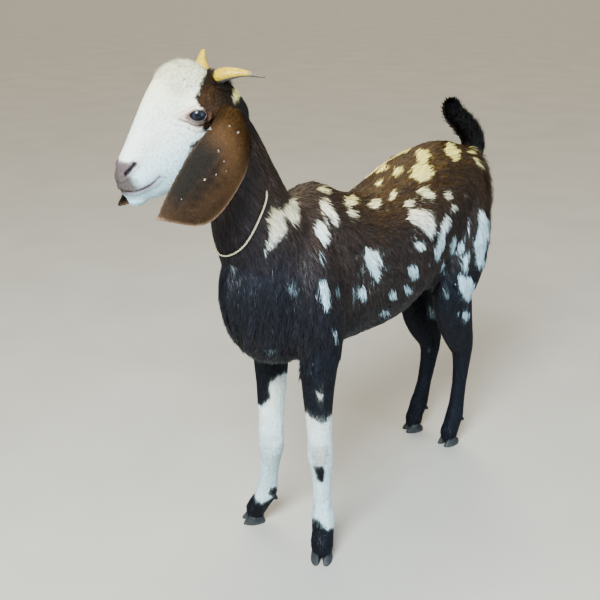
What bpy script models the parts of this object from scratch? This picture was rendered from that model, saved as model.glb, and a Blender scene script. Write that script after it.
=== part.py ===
"""A Gujri goat as a still, life-size standing model: body, ears, eyes, horns, claws, tail and string collar.

Metres, +Z up, floor at z = 0. The goat faces -Y and its left side is +X. Everything is drawn in the
body's own frame, with the forefeet near y = 0, and moved by ORIGIN at the end.
"""

import math
import random

import bmesh
import bpy
import numpy as np
from mathutils import Matrix, Vector
from mathutils.bvhtree import BVHTree
from mathutils.geometry import convex_hull_2d

# Driving dimensions
ORIGIN = Vector((-0.0085, 0.2105, 0.0))  # middle of the footprint box, in the body's frame
GAP = 0.0003                            # air kept between neighbours
SOCKET_EASE = 1.15                      # a socket's corners need a little more
EYE_RADIUS = 0.0155
CLAW_LENGTH = 0.048
CLAW_WIDTH = 0.0218
CLAW_HEIGHT = 0.028
EAR_THICKNESS = 0.0036
STRING_RADIUS = 0.0026

# Head pose: where the point between the horns is, and how the head is turned
HEAD_PLACE = Vector((-0.011, -0.146, 0.979))
HEAD_YAW = math.radians(18.7)           # to the goat's right
HEAD_PITCH = math.radians(26.6)         # nose down
HEAD_ROLL = math.radians(0.7)

# Fineness of the fused skins
BODY_VOXEL = 0.0062
HEAD_VOXEL = 0.0026
BODY_ROUNDS = 7                         # rounds of smoothing
HEAD_ROUNDS = 2
BODY_TRIANGLES = 5300
HEAD_TRIANGLES = 2400

# Torso rings: y, top, widest level, bottom, half width, squareness above and below
TORSO = (
    (-0.146, 0.625, 0.600, 0.578, 0.012, 2.0, 2.0),
    (-0.128, 0.664, 0.600, 0.530, 0.031, 2.0, 2.0),
    (-0.095, 0.702, 0.600, 0.482, 0.055, 2.0, 2.0),
    (-0.050, 0.728, 0.598, 0.446, 0.076, 1.9, 2.0),
    (0.020, 0.748, 0.592, 0.422, 0.088, 1.8, 2.0),
    (0.100, 0.762, 0.585, 0.420, 0.096, 1.8, 2.1),
    (0.190, 0.720, 0.575, 0.421, 0.108, 2.0, 2.2),
    (0.270, 0.709, 0.570, 0.420, 0.117, 2.0, 2.2),
    (0.350, 0.733, 0.580, 0.430, 0.118, 2.0, 2.1),
    (0.430, 0.758, 0.600, 0.452, 0.110, 2.0, 2.0),
    (0.510, 0.769, 0.630, 0.486, 0.098, 2.0, 2.0),
    (0.580, 0.762, 0.645, 0.520, 0.088, 2.0, 2.0),
    (0.645, 0.740, 0.655, 0.552, 0.068, 2.0, 2.0),
    (0.700, 0.712, 0.668, 0.622, 0.031, 2.0, 2.0),
    (0.726, 0.697, 0.671, 0.648, 0.013, 2.0, 2.0),
)

# Neck rings: y, z, lean of the ring's axis forward from upright, half depth, half width
NECK = (
    (0.010, 0.620, 20, 0.110, 0.078),
    (-0.032, 0.675, 22, 0.098, 0.070),
    (-0.068, 0.730, 24, 0.085, 0.059),
    (-0.091, 0.790, 26, 0.071, 0.051),
    (-0.114, 0.845, 28, 0.061, 0.048),
    (-0.138, 0.893, 30, 0.054, 0.044),
)

# Limb stations, from the shoulder or hip down: x, y, z, half width across, half width fore and aft
FORE_LEFT = (
    (0.040, 0.075, 0.690, 0.020, 0.040),
    (0.066, 0.030, 0.625, 0.033, 0.062),
    (0.076, 0.024, 0.550, 0.036, 0.064),
    (0.077, 0.032, 0.480, 0.034, 0.054),
    (0.076, 0.024, 0.430, 0.032, 0.044),
    (0.078, 0.019, 0.370, 0.0285, 0.035),
    (0.081, 0.018, 0.305, 0.0245, 0.029),
    (0.083, 0.018, 0.252, 0.0265, 0.0275),
    (0.082, 0.021, 0.228, 0.0260, 0.0265),
    (0.080, 0.027, 0.195, 0.0215, 0.0225),
    (0.078, 0.031, 0.150, 0.0195, 0.0210),
    (0.077, 0.034, 0.110, 0.0205, 0.0225),
    (0.078, 0.034, 0.082, 0.0240, 0.0250),
    (0.082, 0.028, 0.060, 0.0235, 0.0220),
    (0.087, 0.020, 0.040, 0.0240, 0.0225),
    (0.090, 0.016, 0.026, 0.0230, 0.0220),
    (0.091, 0.016, 0.014, 0.0195, 0.0190),
)
FORE_RIGHT = (
    (-0.040, 0.075, 0.690, 0.020, 0.040),
    (-0.064, 0.028, 0.625, 0.033, 0.062),
    (-0.074, 0.022, 0.550, 0.036, 0.064),
    (-0.075, 0.042, 0.480, 0.034, 0.056),
    (-0.071, 0.050, 0.425, 0.031, 0.046),
    (-0.063, 0.042, 0.355, 0.0275, 0.036),
    (-0.052, 0.026, 0.285, 0.0245, 0.029),
    (-0.044, 0.017, 0.235, 0.0265, 0.0275),
    (-0.045, 0.018, 0.212, 0.0260, 0.0265),
    (-0.053, 0.023, 0.180, 0.0215, 0.0225),
    (-0.064, 0.029, 0.140, 0.0195, 0.0210),
    (-0.073, 0.034, 0.105, 0.0205, 0.0225),
    (-0.080, 0.037, 0.080, 0.0240, 0.0250),
    (-0.089, 0.033, 0.058, 0.0235, 0.0220),
    (-0.099, 0.028, 0.040, 0.0240, 0.0225),
    (-0.104, 0.026, 0.026, 0.0230, 0.0220),
    (-0.105, 0.026, 0.014, 0.0195, 0.0190),
)
HIND_LEFT = (
    (0.036, 0.600, 0.700, 0.032, 0.066),
    (0.056, 0.580, 0.645, 0.038, 0.068),
    (0.067, 0.576, 0.590, 0.042, 0.071),
    (0.073, 0.562, 0.530, 0.041, 0.077),
    (0.076, 0.540, 0.480, 0.037, 0.078),
    (0.074, 0.517, 0.440, 0.033, 0.074),
    (0.070, 0.530, 0.395, 0.029, 0.066),
    (0.065, 0.556, 0.345, 0.026, 0.058),
    (0.060, 0.584, 0.300, 0.0225, 0.048),
    (0.057, 0.605, 0.260, 0.0210, 0.0370),
    (0.056, 0.608, 0.220, 0.0195, 0.0270),
    (0.057, 0.602, 0.160, 0.0175, 0.0205),
    (0.057, 0.595, 0.108, 0.0185, 0.0215),
    (0.056, 0.590, 0.075, 0.0220, 0.0240),
    (0.054, 0.583, 0.054, 0.0215, 0.0220),
    (0.052, 0.578, 0.038, 0.0225, 0.0225),
    (0.051, 0.577, 0.025, 0.0215, 0.0220),
    (0.051, 0.578, 0.013, 0.0185, 0.0190),
)
HIND_RIGHT = (
    (-0.036, 0.600, 0.700, 0.032, 0.066),
    (-0.056, 0.580, 0.645, 0.038, 0.068),
    (-0.067, 0.576, 0.590, 0.042, 0.071),
    (-0.073, 0.566, 0.530, 0.041, 0.077),
    (-0.072, 0.563, 0.480, 0.037, 0.072),
    (-0.067, 0.558, 0.435, 0.033, 0.060),
    (-0.059, 0.564, 0.390, 0.029, 0.055),
    (-0.050, 0.570, 0.340, 0.0255, 0.053),
    (-0.043, 0.592, 0.295, 0.0225, 0.048),
    (-0.039, 0.610, 0.255, 0.0210, 0.0370),
    (-0.038, 0.612, 0.215, 0.0195, 0.0270),
    (-0.041, 0.603, 0.155, 0.0175, 0.0205),
    (-0.046, 0.596, 0.105, 0.0185, 0.0215),
    (-0.050, 0.590, 0.073, 0.0220, 0.0240),
    (-0.053, 0.584, 0.053, 0.0215, 0.0220),
    (-0.055, 0.580, 0.038, 0.0225, 0.0225),
    (-0.056, 0.579, 0.025, 0.0215, 0.0220),
    (-0.056, 0.580, 0.013, 0.0185, 0.0190),
)

LIMBS = {"front_left": FORE_LEFT, "front_right": FORE_RIGHT, "hind_left": HIND_LEFT, "hind_right": HIND_RIGHT}

# Feet: middle of the claw pair on the floor, and heading (0 is straight ahead, + is to the goat's left)
FEET = {
    "front_left": ((0.092, 0.012), 35),
    "front_right": ((-0.108, 0.022), -40),
    "hind_left": ((0.051, 0.575), -12),
    "hind_right": ((-0.056, 0.575), -30),
}

CLAW_SIDES = 14
CLAW_LEVELS = ((0.0, 1.0), (0.15, 1.03), (0.65, 0.90), (1.0, 0.55))  # shares of height, width
CLAW_TOE_PINCH = 0.38
CLAW_INNER_SHARE = 0.86                 # the inner wall is flatter
CLAW_INNER_POWER = 0.45
CLAW_SLOPE_FRONT = 0.60
CLAW_SLOPE_BACK = 0.12
CLAW_HEEL_DROP = 0.20                   # how much lower the claw is at its heel
CLAW_CLEFT = 0.0006
CLAW_SPLAY = 0.0006                     # how far the toes stand apart

DEWCLAW_ROOT = (0.012, 0.010, -0.002)   # behind the fetlock's middle, to the side, up
DEWCLAW_RUN = (0.0085, 0.002, -0.011)
DEWCLAW_RINGS = ((0.0, 0.0062), (0.45, 0.0064), (0.8, 0.0050), (1.0, 0.0026))  # share of the run, radius

FETLOCKS = {
    "front_left": (0.078, 0.034, 0.078),
    "front_right": (-0.080, 0.037, 0.076),
    "hind_left": (0.056, 0.590, 0.072),
    "hind_right": (-0.050, 0.590, 0.070),
}

# Head rings, in the head's frame: forward, top, bottom, then half widths at four levels down the side
HEAD = (
    (-0.026, -0.036, -0.090, 0.010, 0.018, 0.020, 0.012),
    (-0.013, -0.010, -0.108, 0.019, 0.031, 0.035, 0.023),
    (0.004, 0.015, -0.116, 0.029, 0.043, 0.045, 0.028),
    (0.025, 0.036, -0.121, 0.034, 0.049, 0.047, 0.027),
    (0.050, 0.046, -0.125, 0.033, 0.049, 0.046, 0.026),
    (0.075, 0.043, -0.128, 0.030, 0.045, 0.044, 0.025),
    (0.100, 0.032, -0.130, 0.026, 0.038, 0.041, 0.024),
    (0.125, 0.016, -0.129, 0.022, 0.031, 0.036, 0.023),
    (0.150, -0.002, -0.125, 0.020, 0.027, 0.031, 0.022),
    (0.175, -0.020, -0.118, 0.019, 0.025, 0.028, 0.020),
    (0.195, -0.034, -0.110, 0.018, 0.023, 0.025, 0.017),
    (0.209, -0.047, -0.103, 0.014, 0.018, 0.020, 0.013),
    (0.217, -0.057, -0.093, 0.007, 0.010, 0.011, 0.007),
)
HEAD_LEVELS = (0.10, 0.38, 0.68, 0.92)  # how far down the side those four widths are

EYE = Vector((0.0612, 0.0402, -0.0298))   # the left eyeball's middle
FACE_BALLS = (                          # soft forms of each side of the face: middle and radii
    ((0.060, 0.034, -0.026), (0.031, 0.0190, 0.0270)),
    ((0.060, 0.028, -0.080), (0.045, 0.0220, 0.0360)),
    ((0.188, 0.0125, -0.047), (0.016, 0.0110, 0.0125)),
)
CHIN = ((0.199, 0.0, -0.1010), (0.0195, 0.0180, 0.0135))
HORN_LINES = {
    "left": ((0.004, 0.018, -0.010), (-0.004, 0.036, -0.001), (-0.022, 0.062, -0.006), (-0.047, 0.088, -0.024)),
    "right": ((0.004, -0.018, -0.010), (-0.005, -0.033, 0.002), (-0.016, -0.046, 0.011), (-0.031, -0.058, 0.019)),
}
HORN_RADII = {
    "left": ((0.0125, 0.0150), (0.0115, 0.0140), (0.0080, 0.0095), (0.0018, 0.0020)),
    "right": ((0.0108, 0.0128), (0.0100, 0.0120), (0.0074, 0.0086), (0.0034, 0.0036)),
}

# Eye opening: the way along the slit to its front corner, the way out, and its reach in each direction
SLIT_FORWARD = Vector((0.854, -0.294, 0.427)).normalized()
SLIT_OUT = Vector((0.28, 0.94, 0.12))
SLIT_FRONT = 0.0165
SLIT_REAR = 0.0125
SLIT_UPPER = 0.0085
SLIT_LOWER = 0.0080
SLIT_POINTS = 24
LID_THICKNESS = 0.0030

# Mouth line, left half from the middle of the lips to the corner, in the head's frame
MOUTH = (
    (0.2205, 0.0000, -0.0755),
    (0.2180, 0.0090, -0.0770),
    (0.2095, 0.0175, -0.0810),
    (0.1920, 0.0230, -0.0860),
    (0.1760, 0.0265, -0.0875),
    (0.1610, 0.0290, -0.0845),
)
MOUTH_CUT = (0.0050, 0.010, 0.0004, 0.0014)  # depth, reach outside, half heights inside and outside
NOSTRIL = Vector((0.1930, 0.0195, -0.0500))
NOSTRIL_RADII = (0.0115, 0.0070, 0.0036)

# Front and rear edge of each ear, in the head's frame and as if on its left
EAR_EDGES = {
    "left": (
        ((0.018, 0.044, -0.036), (0.061, 0.070, -0.045), (0.118, 0.080, -0.060), (0.176, 0.084, -0.089),
         (0.212, 0.085, -0.113)),
        ((-0.006, 0.040, -0.066), (0.022, 0.080, -0.110), (0.079, 0.096, -0.146), (0.151, 0.098, -0.163),
         (0.210, 0.086, -0.117)),
    ),
    "right": (
        ((0.018, 0.044, -0.036), (0.060, 0.070, -0.048), (0.117, 0.080, -0.068), (0.178, 0.084, -0.100),
         (0.2195, 0.085, -0.125)),
        ((-0.008, 0.040, -0.064), (0.016, 0.080, -0.110), (0.070, 0.096, -0.150), (0.144, 0.098, -0.1585),
         (0.2154, 0.086, -0.1322)),
    ),
}
EAR_CUP = 0.020
EAR_STEPS = (12, 6)                     # along and across

# Forms between trunk and limbs: middle and radii
BREAST = ((0.0, -0.050, 0.655), (0.068, 0.074, 0.055))
GROIN = ((0.0, 0.565, 0.500), (0.064, 0.090, 0.066))
HIP = ((0.056, 0.462, 0.716), (0.024, 0.034, 0.026))  # the left one
BUTTOCK = ((0.041, 0.637, 0.622), (0.031, 0.056, 0.078))
SHOULDER = ((0.072, 0.002, 0.600), (0.024, 0.040, 0.050))

# Tail: middle line from the root to the blunt tip, how far its hair reaches, and the radius under the hair
TAIL = (
    (0.0, 0.684, 0.690, 0.0220, 0.0220),
    (0.0, 0.692, 0.728, 0.0290, 0.0240),
    (0.0, 0.676, 0.766, 0.0290, 0.0150),
    (0.0, 0.640, 0.797, 0.0262, 0.0130),
    (0.0, 0.600, 0.820, 0.0222, 0.0110),
    (0.0, 0.572, 0.832, 0.0190, 0.0080),
    (0.0, 0.551, 0.839, 0.0090, 0.0035),
)
TAIL_FLATTEN = 0.88                     # the tail is a little narrower than deep
TAIL_SPAN_ROWS = 3                      # rows between the given ones
LOCK_ROOTS = ((3, 6), (6, 6), (9, 6), (12, 5), (14, 4))  # row along the tail, locks there
LOCK_RUN = 5.2                          # rows that a lock reaches on
LOCK_HALF_WIDTH = 0.0094
LOCK_HALF_THICKNESS = 0.0024
LOCK_SHAPE = ((0.0, 0.80), (0.35, 1.0), (0.72, 0.62), (1.0, 0.14))  # share of length, of width
LOCK_THIN = 0.55                        # how much of the thickness goes by the tip
LOCK_SEED = 7

# Cuts: a point on the plane and its normal
NECK_BASE = (Vector((0, -0.050, 0.690)), Vector((0, -0.60, 0.80)))
POLL = (Vector((0, -0.119, 0.868)), Vector((-0.18, -0.84, 0.51)))
FORELEG_TOP = (Vector((0.030, 0, 0.404)), Vector((-0.54, 0, 0.84)))
HINDLEG_TOP = (Vector((0, 0.590, 0.492)), Vector((0, -0.27, 0.963)))

MIDLINE = 0.002                         # the legs' cutting boxes start this far from it
LEG_BOX_SIDE = 0.25                     # and reach this far out
LEG_BOX_TOP = 0.75
LEG_REACH = {"front": (-0.25, 0.20), "hind": (0.40, 0.85)}
TURN_TOP = 0.45                         # a leg turns towards its foot's heading below this level
TURN_SPAN = 0.40

# String collar: middle of its loop and the way its axis points
COLLAR_MIDDLE = Vector((0.0, -0.0925, 0.7607))
COLLAR_AXIS = Vector((-0.086, -0.870, 0.486))
COLLAR_POINTS = 40
COLLAR_CASTS = 240                      # rays to the hide
COLLAR_EASE = 0.0007                    # the string lies this far off the hide
COLLAR_SIDES = 6

RING_POINTS = 28


def material(name, colour, roughness):
    """A plain Principled material."""
    made = bpy.data.materials.new(name)
    made.use_nodes = True
    shader = made.node_tree.nodes["Principled BSDF"]
    shader.inputs["Base Color"].default_value = (*colour, 1.0)
    shader.inputs["Roughness"].default_value = roughness
    return made


def smooth_rows(rows, per_span):
    """The given rows of numbers with rows of a smooth curve added between them."""
    rows = np.array(rows, float)
    padded = np.vstack([2 * rows[0] - rows[1], rows, 2 * rows[-1] - rows[-2]])
    out = []
    for i in range(len(rows) - 1):
        a, b, c, d = padded[i:i + 4]
        for t in np.arange(per_span) / per_span:
            cubic = 3 * b - a - 3 * c + d
            square = 2 * a - 5 * b + 4 * c - d
            out.append(0.5 * (2 * b + (c - a) * t + square * t ** 2 + cubic * t ** 3))
    out.append(rows[-1])
    return np.array(out)


def object_from(name, bm):
    """A new object in the scene's working collection from a bmesh, faces pointing out."""
    bmesh.ops.recalc_face_normals(bm, faces=bm.faces)
    mesh = bpy.data.meshes.new(name)
    bm.to_mesh(mesh)
    bm.free()
    made = bpy.data.objects.new(name, mesh)
    WORK.objects.link(made)
    return made


def loft(name, rings):
    """A closed skin over rings of equal count."""
    bm = bmesh.new()
    loops = [[bm.verts.new(point) for point in ring] for ring in rings]
    count = len(loops[0])
    for low, high in zip(loops, loops[1:]):
        for i in range(count):
            j = (i + 1) % count
            bm.faces.new((low[i], low[j], high[j], high[i]))
    bm.faces.new(list(reversed(loops[0])))
    bm.faces.new(loops[-1])
    return object_from(name, bm)


def oval(centre, side, up, half, above, below, power_above=2.0, power_below=2.0, count=RING_POINTS):
    """Points round a superellipse with its own height and squareness above and below its middle."""
    points = []
    for angle in np.arange(count) * 2 * math.pi / count:
        cosine = math.cos(angle)
        sine = math.sin(angle)
        high = sine >= 0
        power = power_above if high else power_below
        across = math.copysign(abs(cosine) ** (2 / power), cosine) * half
        rise = math.copysign(abs(sine) ** (2 / power), sine) * (above if high else below)
        points.append(Vector(centre) + Vector(side) * across + Vector(up) * rise)
    return points


def ball(name, centre, radii, turn=None, segments=20):
    """An ellipsoid."""
    bm = bmesh.new()
    bmesh.ops.create_uvsphere(bm, u_segments=segments, v_segments=segments // 2 + 1, radius=1.0)
    place = Matrix.Translation(centre) @ (turn or Matrix()) @ Matrix.Diagonal((*radii, 1.0))
    bmesh.ops.transform(bm, matrix=place, verts=bm.verts)
    return object_from(name, bm)


def limb(name, stations, heading):
    """A leg: ovals across its path that turn from straight ahead to the foot's heading."""
    rows = smooth_rows(stations, 3)
    path = rows[:, :3]
    along = np.gradient(path, axis=0)
    rings = []
    for i, (x, y, z, half, fore) in enumerate(rows):
        share = min(1.0, max(0.0, (TURN_TOP - z) / TURN_SPAN))
        turn = math.radians(heading) * share
        tangent = Vector(along[i]).normalized()
        side = Vector((math.cos(turn), math.sin(turn), 0))
        front = tangent.cross(side).normalized()
        side = front.cross(tangent).normalized()
        rings.append(oval((x, y, z), side, front, half, fore, fore))
    return loft(name, rings)


def torso_form():
    rows = smooth_rows(TORSO, 3)
    rings = []
    for y, top, level, bottom, half, above, below in rows:
        rings.append(oval((0, y, level), (1, 0, 0), (0, 0, 1), half, top - level, level - bottom, above, below))
    return loft("torso_form", rings)


def neck_form():
    rings = []
    for y, z, lean, depth, half in smooth_rows(NECK, 4):
        axis = Vector((0, -math.sin(math.radians(lean)), math.cos(math.radians(lean))))
        front = Vector((1, 0, 0)).cross(axis)
        rings.append(oval((0, y, z), (1, 0, 0), front, half, depth, depth, 2.1, 2.1))
    return loft("neck_form", rings)


def head_matrix():
    """The head's frame: X forward out of the nose, Y to its left, Z up out of the brow."""
    cosine, sine = math.cos(HEAD_PITCH), math.sin(HEAD_PITCH)
    forward = Vector((-math.sin(HEAD_YAW) * cosine, -math.cos(HEAD_YAW) * cosine, -sine))
    left = Vector((math.cos(HEAD_YAW), -math.sin(HEAD_YAW), 0))
    up = forward.cross(left)
    left = (math.cos(HEAD_ROLL) * left + math.sin(HEAD_ROLL) * up).normalized()
    up = forward.cross(left)
    frame = Matrix((forward, left, up)).transposed().to_4x4()
    return Matrix.Translation(HEAD_PLACE) @ frame


def head_ring(forward, top, bottom, widths):
    """One ring of the head from its top, bottom and four half widths."""
    depth = top - bottom
    half = [(0.0, top)]
    half += [(width, top - level * depth) for width, level in zip(widths, HEAD_LEVELS)]
    half.append((0.0, bottom))
    mirrored = [(-across, rise) for across, rise in half[-2:0:-1]]
    knots = half + mirrored
    wrapped = np.array(knots[-2:] + knots + knots[:3])
    closed = smooth_rows(wrapped, 4)[8:8 + 4 * len(knots)]
    return [Vector((forward, across, rise)) for across, rise in closed]


def head_form():
    rings = [head_ring(row[0], row[1], row[2], row[3:]) for row in smooth_rows(HEAD, 2)]
    made = loft("head_form", rings)
    made.matrix_world = head_matrix()
    return made


def apply_place(piece):
    """Write an object's placing into its points."""
    piece.data.transform(piece.matrix_world)
    piece.matrix_world = Matrix()


def bake(piece):
    """Replace an object's mesh with the one its modifiers make."""
    graph = bpy.context.evaluated_depsgraph_get()
    made = bpy.data.meshes.new_from_object(piece.evaluated_get(graph))
    piece.modifiers.clear()
    piece.data = made


def drop(pieces):
    for piece in pieces:
        bpy.data.objects.remove(piece)


def join(name, pieces):
    """One object with the surfaces of all the pieces, placed in the body's frame."""
    bm = bmesh.new()
    for piece in pieces:
        copy = piece.data.copy()
        copy.transform(piece.matrix_world)
        bm.from_mesh(copy)
        bpy.data.meshes.remove(copy)
    drop(pieces)
    return object_from(name, bm)


def fuse(name, pieces, voxel, rounds, triangles):
    """One closed skin round all the pieces: remeshed, smoothed and thinned to a triangle count."""
    made = join(name, pieces)
    remesh = made.modifiers.new("remesh", "REMESH")
    remesh.mode = "VOXEL"
    remesh.voxel_size = voxel
    soften = made.modifiers.new("soften", "SMOOTH")
    soften.factor = 0.5
    soften.iterations = rounds
    bake(made)
    faces = sum(len(face.vertices) - 2 for face in made.data.polygons)
    thin = made.modifiers.new("thin", "DECIMATE")
    thin.ratio = triangles / faces
    thin.use_collapse_triangulate = True
    bake(made)
    return made


def copy_of(piece, name):
    made = bpy.data.objects.new(name, piece.data.copy())
    made.matrix_world = piece.matrix_world
    WORK.objects.link(made)
    return made


def boolean(piece, operation, other):
    """Cut or keep with another closed mesh, at once."""
    step = piece.modifiers.new(operation.lower(), "BOOLEAN")
    step.operation = operation
    step.object = other
    bake(piece)


def half_space(plane, offset, reach=1.5):
    """A big block on the side of a plane that its normal points to."""
    point, normal = plane
    bm = bmesh.new()
    bmesh.ops.create_cube(bm, size=reach)
    turn = normal.to_track_quat("Z", "Y").to_matrix().to_4x4()
    place = Matrix.Translation(point + normal.normalized() * (offset + reach / 2)) @ turn
    bmesh.ops.transform(bm, matrix=place, verts=bm.verts)
    return object_from("half_space", bm)


def block(low, high):
    """A box between two corners."""
    low, high = Vector(low), Vector(high)
    bm = bmesh.new()
    bmesh.ops.create_cube(bm, size=1.0)
    size = high - low
    place = Matrix.Translation((low + high) / 2) @ Matrix.Diagonal((*size, 1.0))
    bmesh.ops.transform(bm, matrix=place, verts=bm.verts)
    return object_from("block", bm)


def grown(piece):
    """A copy whose surface stands out by the gap, to cut a socket with; both get the same triangles."""
    bm = bmesh.new()
    bm.from_mesh(piece.data)
    bmesh.ops.triangulate(bm, faces=bm.faces)
    bm.to_mesh(piece.data)
    bmesh.ops.transform(bm, matrix=piece.matrix_world, verts=bm.verts)
    bm.normal_update()
    moved = [vertex.co + vertex.normal * GAP * SOCKET_EASE for vertex in bm.verts]
    for vertex, place in zip(bm.verts, moved):
        vertex.co = place
    return object_from("grown", bm)


def keep_largest(piece):
    """Drop all but the largest closed surface of a piece."""
    bm = bmesh.new()
    bm.from_mesh(piece.data)
    bmesh.ops.triangulate(bm, faces=bm.faces)
    bmesh.ops.dissolve_degenerate(bm, dist=1e-6, edges=bm.edges)
    left = set(bm.faces)
    islands = []
    while left:
        stack = [left.pop()]
        island = list(stack)
        while stack:
            for edge in stack.pop().edges:
                for face in edge.link_faces:
                    if face in left:
                        left.remove(face)
                        stack.append(face)
                        island.append(face)
        islands.append(island)
    islands.sort(key=lambda island: -sum(face.calc_area() for face in island))
    scraps = [face for island in islands[1:] for face in island]
    bmesh.ops.delete(bm, geom=scraps, context="FACES")
    bm.to_mesh(piece.data)
    bm.free()


def claw(name, middle, heading, side):
    """One claw of a foot: flat underneath, with a sloping front and a rounded outer wall."""
    turn = math.radians(heading)
    forward = Vector((math.sin(turn), -math.cos(turn), 0))
    across = Vector((math.cos(turn), math.sin(turn), 0)) * side
    rings = []
    for share, shrink in CLAW_LEVELS:
        ring = []
        for angle in np.arange(CLAW_SIDES) * 2 * math.pi / CLAW_SIDES:
            ahead = math.cos(angle)
            swing = math.sin(angle)
            outer = swing * (1.0 - CLAW_TOE_PINCH * max(0.0, ahead) ** 2)
            outward = outer if swing > 0 else -CLAW_INNER_SHARE * abs(swing) ** CLAW_INNER_POWER
            rise = share * CLAW_HEIGHT * (1 - CLAW_HEEL_DROP * (1 - ahead))
            back = rise * (CLAW_SLOPE_BACK + (CLAW_SLOPE_FRONT - CLAW_SLOPE_BACK) * (1 + ahead) / 2)
            place = forward * (ahead * shrink * CLAW_LENGTH / 2 - back)
            spread = CLAW_WIDTH / 2 + CLAW_CLEFT + CLAW_SPLAY * max(0.0, ahead)
            place += across * (outward * shrink * CLAW_WIDTH / 2 + spread)
            ring.append(Vector((*middle, rise)) + place)
        rings.append(ring)
    return loft(name, rings)


def dewclaw(name, fetlock, heading, side):
    """A small horny cone behind the fetlock."""
    turn = math.radians(heading)
    back = Vector((-math.sin(turn), math.cos(turn), 0))
    across = Vector((math.cos(turn), math.sin(turn), 0)) * side
    frame = Matrix((back, across, Vector((0, 0, 1)))).transposed()
    start = Vector(fetlock) + frame @ Vector(DEWCLAW_ROOT)
    run = frame @ Vector(DEWCLAW_RUN)
    direction = run.normalized()
    front = direction.cross(across).normalized()
    sideways = front.cross(direction)
    rings = []
    for share, radius in DEWCLAW_RINGS:
        rings.append(oval(start + run * share, sideways, front, radius, radius * 0.8, radius * 0.8, count=8))
    return loft(name, rings)


def horn(name, points, radii):
    """A short horn: flattened ovals on a curved line, in the head's frame."""
    rows = smooth_rows([(*point, *pair) for point, pair in zip(points, radii)], 3)
    along = np.gradient(rows[:, :3], axis=0)
    rings = []
    for row, direction in zip(rows, along):
        tangent = Vector(direction).normalized()
        up = Vector((0, 0, 1))
        fore = up.cross(tangent).normalized()
        up = tangent.cross(fore).normalized()
        rings.append(oval(row[:3], fore, up, row[4], row[3], row[3], count=12))
    made = loft(name, rings)
    made.matrix_world = head_matrix()
    apply_place(made)
    return made


def ear(name, side, edges):
    """A broad hanging ear: a cupped leaf between its two edges, as thick as the real one."""
    steps_along, steps_across = EAR_STEPS
    front, rear = (smooth_rows(edge, steps_along // (len(edge) - 1)) for edge in edges)
    bm = bmesh.new()
    grid = []
    for i in range(steps_along + 1):
        share = i / steps_along
        row = []
        for j in range(steps_across + 1):
            across = j / steps_across
            place = Vector(front[i]).lerp(Vector(rear[i]), across)
            bulge = EAR_CUP * 4 * across * (1 - across) * math.sin(math.pi * min(1.0, 0.25 + 0.75 * share))
            place.y += bulge
            place.y *= side
            row.append(bm.verts.new(place))
        grid.append(row)
    for i in range(steps_along):
        for j in range(steps_across):
            corners = [grid[i][j], grid[i + 1][j], grid[i + 1][j + 1], grid[i][j + 1]]
            bm.faces.new(corners if side > 0 else list(reversed(corners)))
    made = object_from(name, bm)
    thick = made.modifiers.new("thickness", "SOLIDIFY")
    thick.thickness = EAR_THICKNESS
    thick.offset = 0
    bake(made)
    made.matrix_world = head_matrix()
    apply_place(made)
    return made


def tail_rows():
    """The tail's stations close together: place, hair reach, core radius; and the way it runs at each."""
    rows = smooth_rows(TAIL, TAIL_SPAN_ROWS)
    return rows, np.gradient(rows[:, :3], axis=0)


def tail_core():
    rings = []
    for row, direction in zip(*tail_rows()):
        side = Vector((1, 0, 0))
        front = Vector(direction).normalized().cross(side).normalized()
        rings.append(oval(row[:3], side, front, row[4] * TAIL_FLATTEN, row[4], row[4], count=12))
    return loft("tail_core", rings)


def tail_point(place, angle, share):
    """A point at a row of the tail (with a fraction), out from its middle by a share of the hair's reach."""
    rows, along = tail_rows()
    low = min(int(place), len(rows) - 2)
    row = rows[low] + (rows[low + 1] - rows[low]) * (place - low)
    front = Vector(along[low]).normalized().cross(Vector((1, 0, 0))).normalized()
    out = Vector((math.cos(angle) * TAIL_FLATTEN, 0, 0)) + front * math.sin(angle)
    return Vector(row[:3]) + out * row[3] * share, out.normalized()


def tail_lock(draw, place, angle):
    """A flat lock, rooted in the core, that rises and bends over to lie along the brush."""
    last = len(tail_rows()[0]) - 1
    end = min(place + LOCK_RUN * draw.uniform(0.85, 1.1), last)
    swing = draw.uniform(-0.25, 0.25)
    root, _ = tail_point(place, angle, 0.30)
    rise, out = tail_point(place + (end - place) * 0.45, angle + swing / 2, draw.uniform(0.98, 1.06))
    tip, _ = tail_point(end, angle + swing, draw.uniform(0.80, 0.98))
    rings = []
    for t, width in LOCK_SHAPE:
        middle = root * (1 - t) ** 2 + rise * 2 * t * (1 - t) + tip * t ** 2
        tangent = ((rise - root) * (1 - t) + (tip - rise) * t).normalized()
        side = tangent.cross(out).normalized()
        up = side.cross(tangent)
        thick = LOCK_HALF_THICKNESS * (1 - LOCK_THIN * t)
        rings.append(oval(middle, side, up, LOCK_HALF_WIDTH * width, thick, thick, count=4))
    return loft("lock", rings)


def hairy_tail():
    """The tail's core and its locks, fused into one closed surface."""
    draw = random.Random(LOCK_SEED)
    tail = tail_core()
    locks = bpy.data.collections.new("locks")
    for k, (place, count) in enumerate(LOCK_ROOTS):
        for j in range(count):
            angle = (j + 0.5 * (k % 2) + draw.uniform(-0.12, 0.12)) * 2 * math.pi / count
            made = tail_lock(draw, place + draw.uniform(-0.4, 0.4), angle)
            WORK.objects.unlink(made)
            locks.objects.link(made)
    step = tail.modifiers.new("locks", "BOOLEAN")
    step.operation = "UNION"
    step.operand_type = "COLLECTION"
    step.collection = locks
    bake(tail)
    drop(list(locks.objects))
    bpy.data.collections.remove(locks)
    keep_largest(tail)
    return tail


def mirrored(point, side):
    """A point of the head's frame on its left (1) or right (-1) side."""
    return Vector((point[0], point[1] * side, point[2]))


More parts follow.
